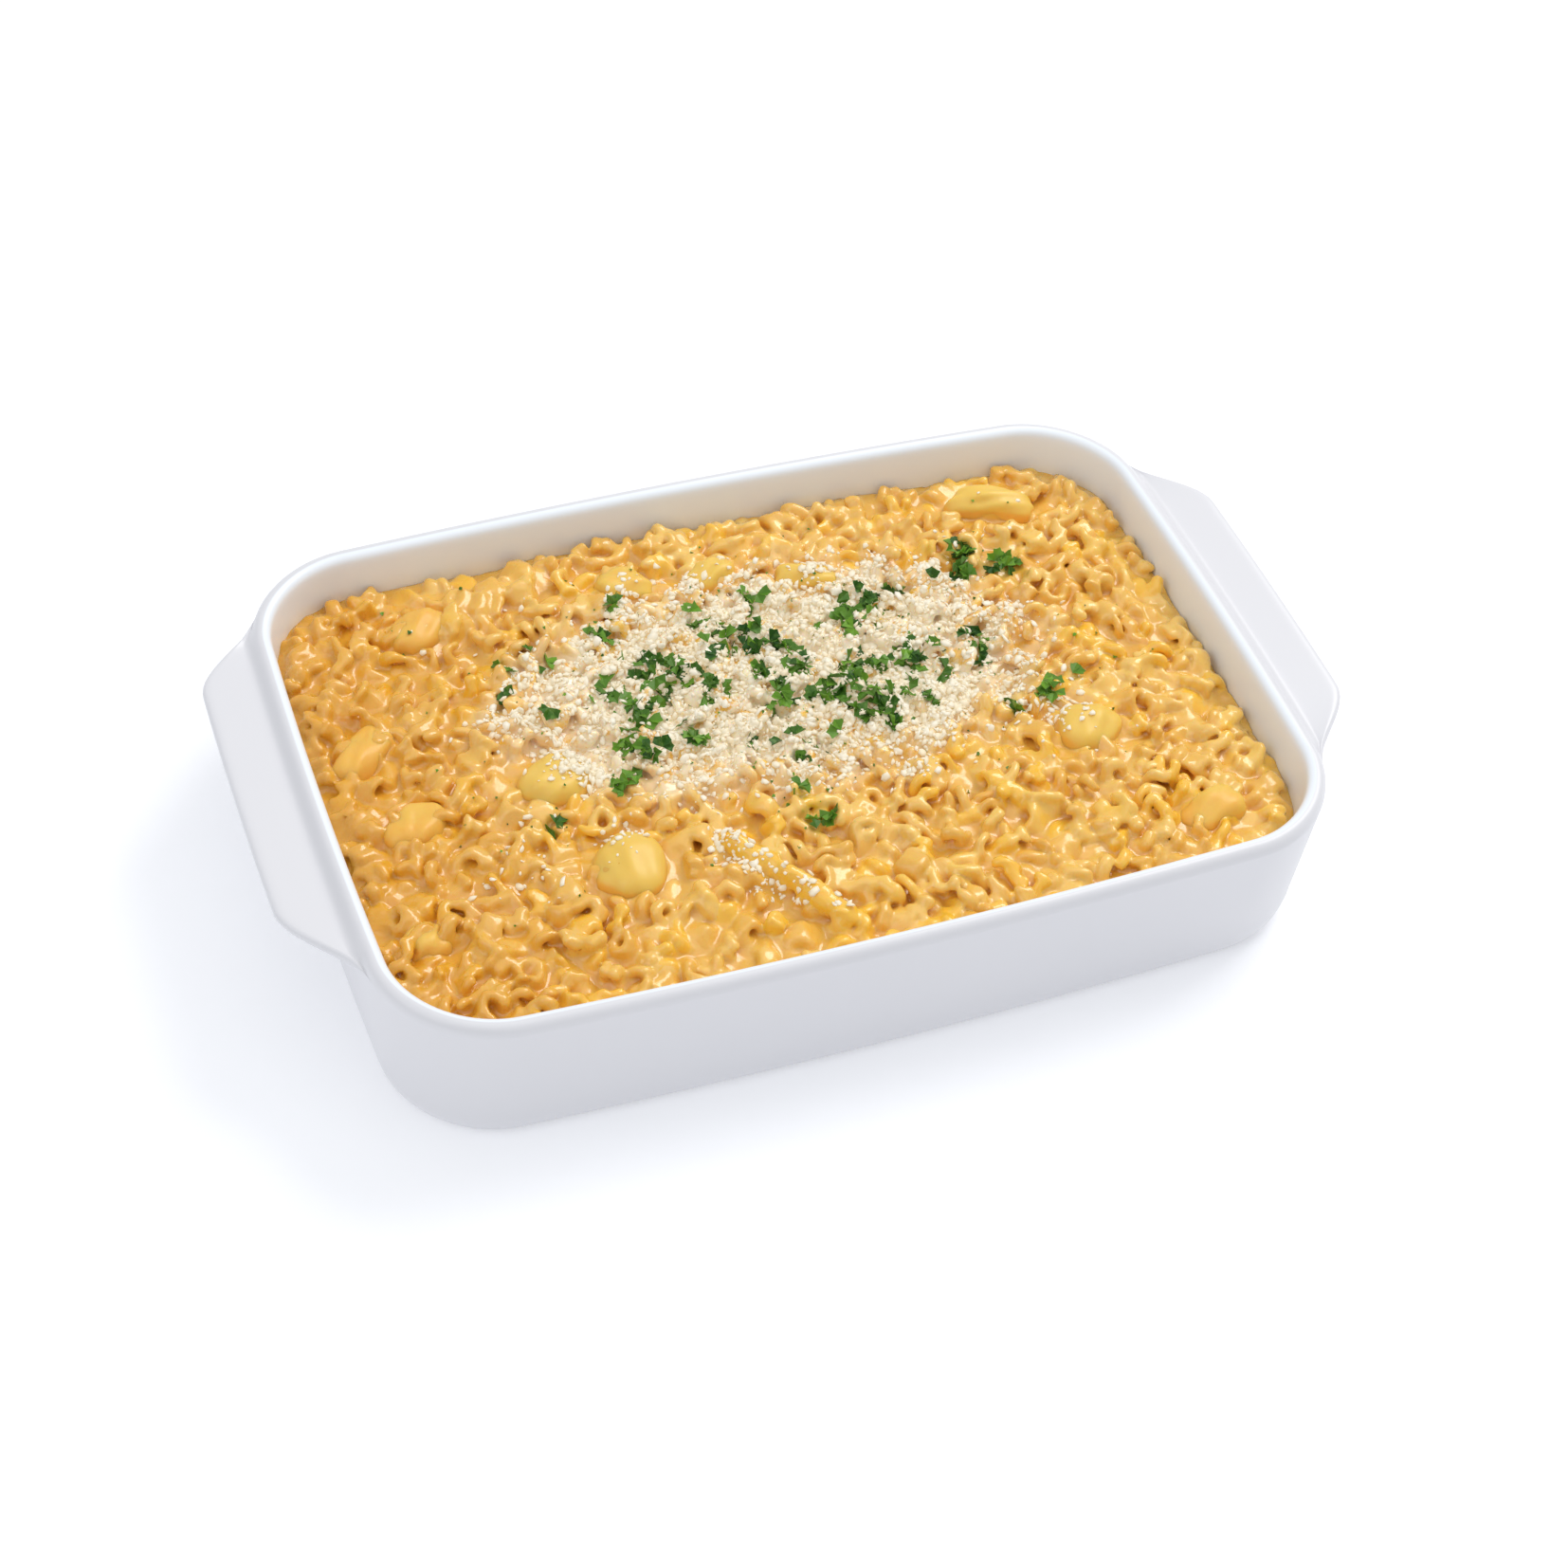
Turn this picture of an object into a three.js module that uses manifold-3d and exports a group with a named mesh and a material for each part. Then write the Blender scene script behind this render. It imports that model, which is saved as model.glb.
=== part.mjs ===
// A white baking dish with two wing handles, filled with pasta and potatoes in a thick sauce,
// under grated cheese and chopped parsley. Millimetres, +Z up. The origin is on the table under
// the middle of the dish, and the handles point along +X and -X.

import * as THREE from 'three';
import { mergeVertices } from 'three/addons/utils/BufferGeometryUtils.js';
import Module from 'manifold-3d';

const wasm = await Module();
wasm.setup();

// Driving dimensions

// The dish, measured over its rim
const dishLength = 300;
const dishWidth = 204;
const dishHeight = 53;
const wallThickness = 6;
const cornerRadius = 35;
const sideBow = 4; // the corners lie this much inside the middle of each side
const wallLean = 3; // the foot of the wall lies this much inside the rim
const heelHeight = 12;
const heelInset = 4;
const floorThickness = 6;
const floorFillet = 14;

// The wing handles
const handleReach = 18.7; // beyond the rim
const handleFlat = 43.5; // half of the straight outer edge
const handleRoot = 75; // half of the width where it leaves the wall
const handleMiddle = { left: 6, right: 1.5 }; // both sit a little off the middle of their side
const handleDrop = 3.6; // top face below the rim, at the root
const handleTipDrop = 1.3; // and at the outer edge
const handleEdge = 3.6; // thickness of the outer edge
const handleGusset = 13; // thickness against the wall
const handleThin = 3; // thickness where it runs out along the wall
const handleInWall = 3.5; // how far the root is bedded in the wall

// The filling
const gap = 0.35; // clearance between neighbouring pieces
const foodEdge = 36; // height of the sauce at the wall
const foodCrown = 40.5; // and in the middle
const foodTop = 48; // nothing in the dish reaches higher
const pieceSpacing = 21.5;
const pieceMargin = 11; // between the rim's outline and the outermost pieces' middles
const pieceStand = { least: 3.6, most: 5.6 }; // how far the pieces stand above the sauce
const corkscrewShare = 0.15; // of all the pieces
const uprightShare = 0.3;
const pieceLean = { along: 0.5, across: 0.4 }; // largest tilts out of level or upright
const pieceShake = 0.22; // how far a piece lies off its grid, in shares of the spacing
const tubeRadius = 3.5;
const tubeBore = 1.9;
const boreDepth = 2.4;
const bendRadius = 5.6;

// Toppings
const cheeseZone = { x: 3, y: 19, halfLength: 98, halfWidth: 53 };
const crumbRadius = 1.5;
const crumbSpacing = 18;
const crumbShake = 0.4;
const crumbLift = 0.35; // the middle of a crumb above what it lies on, in shares of its radius
const leafRadius = 3.4;
const leafThickness = 0.8;
const leafLean = 0.5;
const leafBedding = 0.1; // how deep a leaf is pressed in
const leafRoom = 3.4; // kept free above a leaf's middle for its raised side
const tuftReach = 4.5; // from the middle of a tuft to its outermost leaves

// Helpers

function seededRandom(seed) {
  let state = seed;
  return () => {
    state = (state + 0x6d2b79f5) | 0;
    let mixed = Math.imul(state ^ (state >>> 15), 1 | state);
    mixed = (mixed + Math.imul(mixed ^ (mixed >>> 7), 61 | mixed)) ^ mixed;
    return ((mixed ^ (mixed >>> 14)) >>> 0) / 4294967296;
  };
}

function between(random, low, high) {
  return low + (high - low) * random();
}

// Six times the signed volume of a triangle mesh
function signedVolume(points, triangles) {
  const a = new THREE.Vector3();
  const b = new THREE.Vector3();
  const c = new THREE.Vector3();
  let sum = 0;
  for (let i = 0; i < triangles.length; i += 3) {
    a.fromArray(points, 3 * triangles[i]);
    b.fromArray(points, 3 * triangles[i + 1]);
    c.fromArray(points, 3 * triangles[i + 2]);
    sum += a.dot(b.cross(c));
  }
  return sum;
}

// A closed three.js geometry becomes a solid, with its faces pointing out
function solidFrom(geometry) {
  const bare = geometry.clone();
  bare.deleteAttribute('normal');
  bare.deleteAttribute('uv');
  const merged = mergeVertices(bare);
  const index = merged.index.array;
  const triangles = [];
  for (let i = 0; i < index.length; i += 3) {
    const corner = [index[i], index[i + 1], index[i + 2]];
    if (new Set(corner).size === 3) triangles.push(...corner);
  }
  const points = Float32Array.from(merged.attributes.position.array);
  if (signedVolume(points, triangles) < 0) triangles.reverse();
  const mesh = new wasm.Mesh({
    numProp: 3,
    vertProperties: points,
    triVerts: Uint32Array.from(triangles),
  });
  return new wasm.Manifold(mesh);
}

// The largest single body of a solid: loose scraps are dropped and sealed hollows are filled
function geometryFrom(solid) {
  const mesh = solid.getMesh();
  const parent = Array.from({ length: mesh.numVert }, (_, i) => i);
  const rootOf = (i) => {
    let root = i;
    while (parent[root] !== root) root = parent[root];
    while (parent[i] !== root) [parent[i], i] = [root, parent[i]];
    return root;
  };
  const triangles = mesh.triVerts;
  for (let i = 0; i < triangles.length; i += 3) {
    parent[rootOf(triangles[i + 1])] = rootOf(triangles[i]);
    parent[rootOf(triangles[i + 2])] = rootOf(triangles[i]);
  }
  const shells = new Map();
  for (let i = 0; i < triangles.length; i += 3) {
    const root = rootOf(triangles[i]);
    if (!shells.has(root)) shells.set(root, []);
    shells.get(root).push(triangles[i], triangles[i + 1], triangles[i + 2]);
  }
  let best = [];
  let bestVolume = 0;
  for (const shell of shells.values()) {
    const volume = signedVolume(mesh.vertProperties, shell);
    if (volume > bestVolume) [best, bestVolume] = [shell, volume];
  }
  const geometry = new THREE.BufferGeometry();
  geometry.setAttribute('position', new THREE.BufferAttribute(mesh.vertProperties.slice(), 3));
  geometry.setIndex(best);
  geometry.computeVertexNormals();
  return geometry;
}

// A closed skin through rings of equally many points, with a fan over the first and the last ring
function ringSkin(rings) {
  const count = rings[0].length;
  const points = rings.flat();
  const index = [];
  for (let k = 0; k + 1 < rings.length; k += 1) {
    for (let j = 0; j < count; j += 1) {
      const a = k * count + j;
      const b = k * count + ((j + 1) % count);
      index.push(a, b, b + count, a, b + count, a + count);
    }
  }
  for (const [start, flip] of [[0, true], [(rings.length - 1) * count, false]]) {
    const middle = new THREE.Vector3();
    for (let j = 0; j < count; j += 1) middle.addScaledVector(points[start + j], 1 / count);
    points.push(middle);
    for (let j = 0; j < count; j += 1) {
      const pair = [start + j, start + ((j + 1) % count)];
      if (flip) pair.reverse();
      index.push(...pair, points.length - 1);
    }
  }
  const geometry = new THREE.BufferGeometry().setFromPoints(points);
  geometry.setIndex(index);
  return geometry;
}

// The dish

// The rim's outline, moved in by `inset` and shrunk about the middle by `scale`, at height z
function dishRing(inset, z, scale = 1) {
  const cornerSteps = 7;
  const a = dishLength / 2 - inset;
  const b = dishWidth / 2 - inset;
  const r = Math.max(cornerRadius - inset, 8);
  const flat = [];
  const corners = [[1, 1], [-1, 1], [-1, -1], [1, -1]];
  corners.forEach(([sx, sy], quarter) => {
    const start = (quarter * Math.PI) / 2;
    for (let i = 0; i <= cornerSteps; i += 1) {
      const angle = start + (i / cornerSteps) * (Math.PI / 2);
      flat.push([sx * (a - r) + r * Math.cos(angle), sy * (b - r) + r * Math.sin(angle)]);
    }
    const along = quarter % 2 === 0;
    const sideSteps = 4;
    for (let i = 1; i < sideSteps; i += 1) {
      const t = 1 - (2 * i) / sideSteps;
      flat.push(along ? [sx * t * (a - r), sy * b] : [sx * a, sy * t * (b - r)]);
    }
  });
  const bow = sideBow * scale;
  return flat.map(([x, y]) => new THREE.Vector3(
    scale * (x - bow * (b / a) * (y / b) ** 2 * (x / a)),
    scale * (y - bow * (x / a) ** 2 * (y / b)),
    z,
  ));
}

const beadRadius = wallThickness / 2;

function wallInset(z) {
  return wallLean * Math.max(1 - z / (dishHeight - beadRadius), 0);
}

// The inside of the wall at height z, above the fillet, `clear` away from it
function insideInset(z, clear = 0) {
  return wallThickness + wallInset(z) + clear;
}

// Rings down the fillet from the wall to the floor, `clear` away from the dish
function filletRings(clear = 0) {
  const steps = 3;
  const middleZ = floorThickness + floorFillet;
  const middleInset = insideInset(middleZ) + floorFillet;
  const radius = floorFillet - clear;
  const rings = [];
  for (let i = 0; i <= steps; i += 1) {
    const angle = (i / steps) * (Math.PI / 2);
    rings.push(dishRing(middleInset - radius * Math.cos(angle), middleZ - radius * Math.sin(angle)));
  }
  return rings;
}

function dishShell() {
  const rings = [];
  const heelSteps = 3;
  const heelDepth = heelInset + wallInset(0) - wallInset(heelHeight);
  for (let i = 0; i <= heelSteps; i += 1) {
    const angle = (i / heelSteps) * (Math.PI / 2);
    const inset = wallInset(heelHeight) + heelDepth * (1 - Math.sin(angle));
    rings.push(dishRing(inset, heelHeight * (1 - Math.cos(angle))));
  }
  const beadSteps = 6;
  for (let i = 0; i <= beadSteps; i += 1) {
    const angle = (i / beadSteps) * Math.PI;
    const z = dishHeight - beadRadius * (1 - Math.sin(angle));
    rings.push(dishRing(wallInset(z) + beadRadius * (1 - Math.cos(angle)), z));
  }
  rings.push(...filletRings());
  return solidFrom(ringSkin(rings));
}

// A wing: sections across the handle, lofted along the end wall
function wingHandle(side, middleY) {
  const stations = 18;
  const wallX = dishLength / 2;
  const rootX = wallX - handleInWall;
  const rings = [];
  for (let i = 0; i <= stations; i += 1) {
    const along = side * handleRoot * ((2 * i) / stations - 1);
    const fade = THREE.MathUtils.clamp((Math.abs(along) - handleFlat) / (handleRoot - handleFlat), 0, 1);
    const share = (1 + Math.cos(Math.PI * fade)) / 2;
    const y = middleY + along;
    const bowed = sideBow * (y / dishWidth) ** 2;
    const reach = handleInWall + handleReach * share - bowed;
    const tip = THREE.MathUtils.lerp(-handleDrop, -handleTipDrop, share);
    const gusset = THREE.MathUtils.lerp(handleThin, handleGusset, Math.sqrt(share));
    const section = [
      [0, -handleDrop],
      [0.25, -handleDrop],
      [0.9, tip + 0.1],
      [0.97, tip - 0.5],
      [1, tip - handleEdge / 2],
      [0.96, tip - handleEdge],
      [0.55, -handleDrop - 0.3 * gusset],
      [0.3, -handleDrop - 0.6 * gusset],
      [0.12, -handleDrop - gusset],
      [0, -handleDrop - gusset],
    ];
    rings.push(section.map(([t, dz]) => new THREE.Vector3(
      side * (rootX - bowed + Math.max(reach, 1) * t),
      y,
      dishHeight + dz,
    )));
  }
  return solidFrom(ringSkin(rings));
}

const dishSolid = dishShell()
  .add(wingHandle(1, handleMiddle.right))
  .add(wingHandle(-1, handleMiddle.left));

// The sauce

// Height of the sauce between the pieces
function sauceHeight(x, y) {
  const u = Math.max(Math.abs(x) / (dishLength / 2), Math.abs(y) / (dishWidth / 2));
  const dome = foodEdge + (foodCrown - foodEdge) * (1 - u ** 3);
  const swell = Math.sin(x / 19 + 0.6) * Math.cos(y / 15 - 0.4) + 0.6 * Math.sin((x + y) / 11);
  return dome + 0.7 * swell * (1 - u ** 4);
}

function sauceBody() {
  const rings = filletRings(gap).reverse();
  for (const scale of [1, 0.93, 0.8, 0.64, 0.47, 0.3, 0.14]) {
    const ring = dishRing(insideInset(foodEdge, gap), 0, scale);
    ring.forEach((point) => {
      point.z = sauceHeight(point.x, point.y);
    });
    rings.push(ring);
  }
  return solidFrom(ringSkin(rings));
}

// The room that the food may fill
function foodRoom() {
  const lowest = floorThickness + floorFillet;
  const rings = [lowest, foodTop].map((z) => dishRing(insideInset(z, gap), z));
  return solidFrom(ringSkin(rings));
}

// Potatoes

// Where each chunk lies, its three diameters, its turn about Z, its rise above the sauce,
// and how square it is cut: 2 is round, more is boxier
const potatoes = [
  { x: -75, y: -4, size: [25, 22, 18], turn: 0.3, rise: 7.0, square: 2.1 },
  { x: -65, y: -43, size: [26, 25, 20], turn: 0.9, rise: 7.2, square: 2.1 },
  { x: 90, y: -28, size: [24, 21, 18], turn: 0.5, rise: 6.6, square: 2.2 },
  { x: 114, y: -69, size: [22, 17, 15], turn: 0.2, rise: 5.2, square: 2.6 },
  { x: 101, y: 75, size: [33, 12, 13], turn: -0.35, rise: 6.6, square: 3 },
  { x: -127, y: -50, size: [17, 14, 14], turn: 0.4, rise: 4.4, square: 2.3 },
  { x: -119, y: -9, size: [22, 16, 15], turn: 0.7, rise: 5.8, square: 2.8 },
  { x: -96, y: 70, size: [24, 18, 16], turn: 0.4, rise: 6.0, square: 2.4 },
  { x: -28, y: 71, size: [21, 15, 15], turn: -0.5, rise: 6.0, square: 2.6 },
  { x: 1, y: 69, size: [20, 15, 15], turn: 0.2, rise: 5.8, square: 2.8 },
  { x: 29, y: 58, size: [26, 13, 14], turn: -0.2, rise: 5.0, square: 2.8 },
  { x: -126, y: 25, size: [29, 13, 15], turn: 0.85, rise: 5.6, square: 3 },
];

function potatoPlace({ x, y, size, rise }) {
  return new THREE.Vector3(x, y, sauceHeight(x, y) + rise - size[2] / 2);
}

// A chunk with worn corners, `grow` larger all round
function potatoGeometry(potato, grow = 0) {
  const geometry = new THREE.SphereGeometry(1, 8, 5);
  const position = geometry.attributes.position;
  const point = new THREE.Vector3();
  const half = potato.size.map((d) => d / 2 + grow);
  for (let i = 0; i < position.count; i += 1) {
    point.fromBufferAttribute(position, i);
    const power = potato.square;
    const norm = (Math.abs(point.x) ** power + Math.abs(point.y) ** power
      + Math.abs(point.z) ** power) ** (1 / power);
    const lump = 1 + 0.04 * Math.sin(3 * point.x + potato.x) * Math.sin(4 * point.y + potato.y);
    point.multiplyScalar(lump / norm);
    position.setXYZ(i, point.x * half[0], point.y * half[1], point.z * half[2]);
  }
  geometry.rotateZ(potato.turn);
  return geometry;
}

function placed(geometry, at) {
  return geometry.translate(at.x, at.y, at.z);
}

const potatoSolids = potatoes.map((potato) => (
  solidFrom(placed(potatoGeometry(potato), potatoPlace(potato)))
));
const potatoRoom = wasm.Manifold.union(potatoes.map((potato) => (
  solidFrom(placed(potatoGeometry(potato, gap), potatoPlace(potato)))
)));

// Pasta

// A short bent tube with a bore in its ends: an elbow, or a corkscrew where `climb` isn't 0
function bentTube({ radius, bore, bend, sweep, climb, sides, steps, openEnds }) {
  const length = bend * sweep;
  const profile = [];
  if (openEnds > 0) {
    profile.push(new THREE.Vector2(0, boreDepth), new THREE.Vector2(bore, 0));
  } else {
    profile.push(new THREE.Vector2(0, 0));
  }
  for (let i = 0; i <= steps; i += 1) {
    profile.push(new THREE.Vector2(radius, (length * i) / steps));
  }
  if (openEnds > 1) profile.push(new THREE.Vector2(bore, length));
  profile.push(new THREE.Vector2(0, openEnds > 1 ? length - boreDepth : length));
  const geometry = new THREE.LatheGeometry(profile, sides);
  const position = geometry.attributes.position;
  for (let i = 0; i < position.count; i += 1) {
    const angle = position.getY(i) / bend - sweep / 2;
    const out = bend + position.getX(i);
    position.setXYZ(
      i,
      out * Math.cos(angle) - bend,
      out * Math.sin(angle),
      position.getZ(i) + (climb * angle) / (2 * Math.PI),
    );
  }
  return geometry;
}

const elbow = {
  radius: tubeRadius,
  bore: tubeBore,
  bend: bendRadius,
  sweep: 2.5,
  climb: 0,
  sides: 5,
  steps: 2,
  openEnds: 1,
};
const corkscrew = { ...elbow, radius: 2.9, bend: 3.6, sweep: 6.6, climb: 7.5, steps: 6, openEnds: 0 };

// The three large pieces that show, each with its place, how far its top stands above the sauce
// and its turns about X, Y and Z
const largePieces = [
  { kind: { ...elbow, radius: 4, bore: 2.3, bend: 60, sweep: 0.68, sides: 6, steps: 5, openEnds: 2 },
    x: -22, y: -61, stand: 4.6, turn: [0.1, 0, 0.6] },
  { kind: { ...elbow, radius: 6.4, bore: 4, bend: 10, sweep: 1.5, sides: 7, steps: 3, openEnds: 2 },
    x: 62, y: -54, stand: 5, turn: [0.5, 0.2, 2.2] },
  { kind: { ...elbow, radius: 5.4, bore: 3.4, bend: 9, sweep: 2.1, sides: 7, steps: 4, openEnds: 2 },
    x: -107, y: 47, stand: 4.6, turn: [0.3, -0.4, 1.1] },
];

function turned(geometry, [rx, ry, rz]) {
  return geometry.rotateX(rx).rotateY(ry).rotateZ(rz);
}

// A piece is drawn in towards the middle until it clears the wall and the potatoes, or left out
function fitPiece(geometry, x, y, stand, room, taken) {
  const tries = 5;
  const centred = geometry.center();
  centred.computeBoundingBox();
  const top = centred.boundingBox.max.z;
  for (let i = 0; i < tries; i += 1) {
    const draw = 1 - 0.025 * i;
    const at = new THREE.Vector3(x * draw, y * draw, 0);
    at.z = sauceHeight(at.x, at.y) + stand - top;
    const solid = solidFrom(placed(centred.clone(), at));
    if (solid.subtract(room).isEmpty() && solid.intersect(taken).isEmpty()) return solid;
  }
  return null;
}

// Places on a shaken grid over the dish
function scatter(random, spacing, halfLength, halfWidth, shake) {
  const places = [];
  const rows = Math.floor((2 * halfWidth) / spacing);
  const columns = Math.floor((2 * halfLength) / spacing);
  for (let row = 0; row < rows; row += 1) {
    for (let column = 0; column < columns; column += 1) {
      const offset = row % 2 ? 0.25 : -0.25;
      const x = ((column + 0.5 + offset) / columns) * 2 - 1;
      const y = ((row + 0.5) / rows) * 2 - 1;
      places.push([
        x * halfLength + between(random, -shake, shake) * spacing,
        y * halfWidth + between(random, -shake, shake) * spacing,
      ]);
    }
  }
  return places;
}

function pastaPieces(room, taken) {
  const random = seededRandom(11);
  const pieces = largePieces.map(({ kind, x, y, stand, turn }) => (
    fitPiece(turned(bentTube(kind), turn), x, y, stand, room, taken)
  ));
  const halfLength = dishLength / 2 - pieceMargin;
  const halfWidth = dishWidth / 2 - pieceMargin;
  for (const [x, y] of scatter(random, pieceSpacing, halfLength, halfWidth, pieceShake)) {
    const kind = random() < corkscrewShare ? corkscrew : elbow;
    const upright = random() < uprightShare ? Math.PI / 2 : 0;
    const along = between(random, -pieceLean.along, pieceLean.along);
    const across = upright + between(random, -pieceLean.across, pieceLean.across);
    const turn = [along, across, random() * 2 * Math.PI];
    const stand = between(random, pieceStand.least, pieceStand.most);
    pieces.push(fitPiece(turned(bentTube(kind), turn), x, y, stand, room, taken));
  }
  return pieces.filter(Boolean);
}

// Cheese and parsley

// 0 in the middle of the cheese, 1 at its edge
function cheeseReach(x, y) {
  return Math.hypot((x - cheeseZone.x) / cheeseZone.halfLength, (y - cheeseZone.y) / cheeseZone.halfWidth);
}

// Height of a solid's top at a place
function topHeight(solid, x, y) {
  const probe = 0.4;
  const post = new THREE.BoxGeometry(probe, probe, foodTop);
  const cut = solid.intersect(solidFrom(post.translate(x, y, foodTop / 2 + 1)));
  return cut.isEmpty() ? null : cut.boundingBox().max[2];
}

function cheeseCrumbs(base, taken) {
  const random = seededRandom(23);
  const crumbs = [];
  const { halfLength, halfWidth } = cheeseZone;
  const places = scatter(random, crumbSpacing, halfLength, halfWidth, crumbShake);
  for (const [dx, dy] of places) {
    const x = cheeseZone.x + dx;
    const y = cheeseZone.y + dy;
    const radius = crumbRadius * between(random, 0.8, 1.3);
    const spin = [random() * 3, random() * 3, random() * 3];
    if (cheeseReach(x, y) > 1) continue;
    const top = topHeight(base, x, y);
    if (top === null || top + radius > foodTop) continue;
    const crumb = turned(new THREE.OctahedronGeometry(radius), spin);
    const solid = solidFrom(crumb.translate(x, y, top + crumbLift * radius));
    if (solid.intersect(taken).isEmpty()) crumbs.push(solid);
  }
  return crumbs;
}

// A thin three-lobed leaf, waved along its length
function parsleyLeaf(radius, wave) {
  const outline = 6;
  const faces = [0, 1].map((side) => {
    const ring = [];
    for (let i = 0; i < outline; i += 1) {
      const angle = (i / outline) * 2 * Math.PI;
      const reach = radius * (0.75 + 0.25 * Math.cos(3 * angle));
      const x = reach * Math.cos(angle);
      const y = reach * Math.sin(angle);
      ring.push(new THREE.Vector3(x, y, side * leafThickness + wave * Math.sin(x * 0.9 + y * 0.5)));
    }
    return ring;
  });
  return ringSkin(faces);
}

// Tufts of parsley: the middle of each, and how many leaves it has
const parsleyTufts = [
  [-30, 29, 2], [1, 35, 2], [7, 18, 2], [26, 6, 2], [38, -8, 1], [39, 40, 1], [80, 51, 2],
  [93, 45, 1], [48, 13, 1], [75, 14, 1], [-41, 13, 1], [-28, 1, 1], [-47, -4, 1], [-57, -13, 1],
  [-1, -11, 1], [-3, -45, 1], [-82, -19, 1], [-73, 46, 1], [-44, 50, 1], [84, -8, 1], [95, -6, 1],
];

function parsleyLeaves(base, taken) {
  const random = seededRandom(37);
  const leaves = [];
  for (const [middleX, middleY, count] of parsleyTufts) {
    for (let i = 0; i < count; i += 1) {
      const x = middleX + between(random, -tuftReach, tuftReach);
      const y = middleY + between(random, -tuftReach, tuftReach);
      const leaf = parsleyLeaf(leafRadius * between(random, 0.8, 1.2), between(random, 0.3, 0.7));
      const lean = () => between(random, -leafLean, leafLean);
      turned(leaf, [lean(), lean(), random() * 6]);
      const top = topHeight(base, x, y);
      if (top === null) continue;
      const solid = solidFrom(leaf.translate(x, y, Math.min(top - leafBedding, foodTop - leafRoom)));
      if (solid.intersect(taken).isEmpty()) leaves.push(solid);
    }
  }
  return leaves;
}

const bareCore = sauceBody().subtract(potatoRoom);
const pasta = pastaPieces(foodRoom(), potatoRoom);
const pastaInSauce = wasm.Manifold.union([bareCore, ...pasta]);
const toppings = [
  ...cheeseCrumbs(pastaInSauce, potatoRoom),
  ...parsleyLeaves(pastaInSauce, potatoRoom),
];
const heapSolid = wasm.Manifold.union([pastaInSauce, ...toppings]).simplify(0.1);

// The assembly

function finish(color, roughness) {
  return new THREE.MeshStandardMaterial({ color, roughness, metalness: 0 });
}

function namedMesh(name, solid, material) {
  const mesh = new THREE.Mesh(geometryFrom(solid), material);
  mesh.name = name;
  return mesh;
}

const glaze = finish(0xf0eff4, 0.18);
const sauce = finish(0xdca353, 0.35);
const potatoFlesh = finish(0xe6c16a, 0.4);

const object = new THREE.Group();
object.add(namedMesh('dish', dishSolid, glaze));
object.add(namedMesh('pasta_heap', heapSolid, sauce));
potatoSolids.forEach((solid, i) => {
  object.add(namedMesh(`potato_${i + 1}`, solid, potatoFlesh));
});

export default object;
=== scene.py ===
import math

import bmesh
import bpy
import numpy as np
import openvdb
from mathutils import Euler, Matrix, Vector
from mathutils.bvhtree import BVHTree


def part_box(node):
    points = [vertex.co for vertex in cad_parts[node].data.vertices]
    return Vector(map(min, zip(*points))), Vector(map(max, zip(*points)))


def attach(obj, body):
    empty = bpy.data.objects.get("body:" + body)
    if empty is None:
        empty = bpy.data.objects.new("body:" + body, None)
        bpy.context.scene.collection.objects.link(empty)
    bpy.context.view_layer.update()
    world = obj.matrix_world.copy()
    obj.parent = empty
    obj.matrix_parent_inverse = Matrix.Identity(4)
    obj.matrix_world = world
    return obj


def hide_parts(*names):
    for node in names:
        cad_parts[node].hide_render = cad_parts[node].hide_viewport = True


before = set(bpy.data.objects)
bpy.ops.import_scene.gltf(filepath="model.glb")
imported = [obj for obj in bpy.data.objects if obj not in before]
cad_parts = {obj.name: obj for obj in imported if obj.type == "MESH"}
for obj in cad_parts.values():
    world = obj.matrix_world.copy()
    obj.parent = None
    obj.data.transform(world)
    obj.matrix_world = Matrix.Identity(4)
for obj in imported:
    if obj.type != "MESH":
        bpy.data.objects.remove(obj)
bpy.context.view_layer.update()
mm = 0.001  # every size below is in millimetres, and meshes are made in metres
anyTurn = 6.28  # radians: random turns and phases lie between nothing and this
print("frame loaded,", len(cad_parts), "nodes")


# small tools used by every piece

def between(rng, low, high):
    return low + (high - low) * rng.random()


def smoothStep(low, high, value):
    t = np.clip((value - low) / (high - low), 0, 1)
    return t * t * (3 - 2 * t)


def turned(x, y, angle):
    cos, sin = math.cos(angle), math.sin(angle)
    return x * cos - y * sin, x * sin + y * cos


def softMin(a, b, width):  # the two fields run together over this width
    h = np.maximum(width - np.abs(a - b), 0) / width
    return np.minimum(a, b) - h * h * width / 4


def meshPiece(name, points, faces, material, attributes=None):
    mesh = bpy.data.meshes.new(name)
    mesh.from_pydata([tuple(p) for p in np.asarray(points) * mm], [], faces)
    for label, values in (attributes or {}).items():
        layer = mesh.attributes.new(label, "FLOAT", "POINT")
        layer.data.foreach_set("value", np.asarray(values, dtype=np.float32))
    mesh.shade_smooth()
    mesh.materials.append(material)
    piece = bpy.data.objects.new(name, mesh)
    bpy.context.collection.objects.link(piece)
    return piece


def standFor(piece, node):  # the piece rides on the dish's body in place of a solid of the frame
    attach(piece, "root")
    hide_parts(node)


def weld(piece, distance):  # rows that lie on each other become one
    shape = bmesh.new()
    shape.from_mesh(piece.data)
    bmesh.ops.remove_doubles(shape, verts=shape.verts, dist=distance * mm)
    shape.to_mesh(piece.data)
    shape.free()


def ringFaces(rows, count, start=0):  # quads between rings of equally many points
    k, j = np.meshgrid(np.arange(rows - 1), np.arange(count), indexing="ij")
    a = start + k * count + j
    b = start + k * count + (j + 1) % count
    return np.stack([a, b, b + count, a + count], axis=-1).reshape(-1, 4).tolist()


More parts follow.
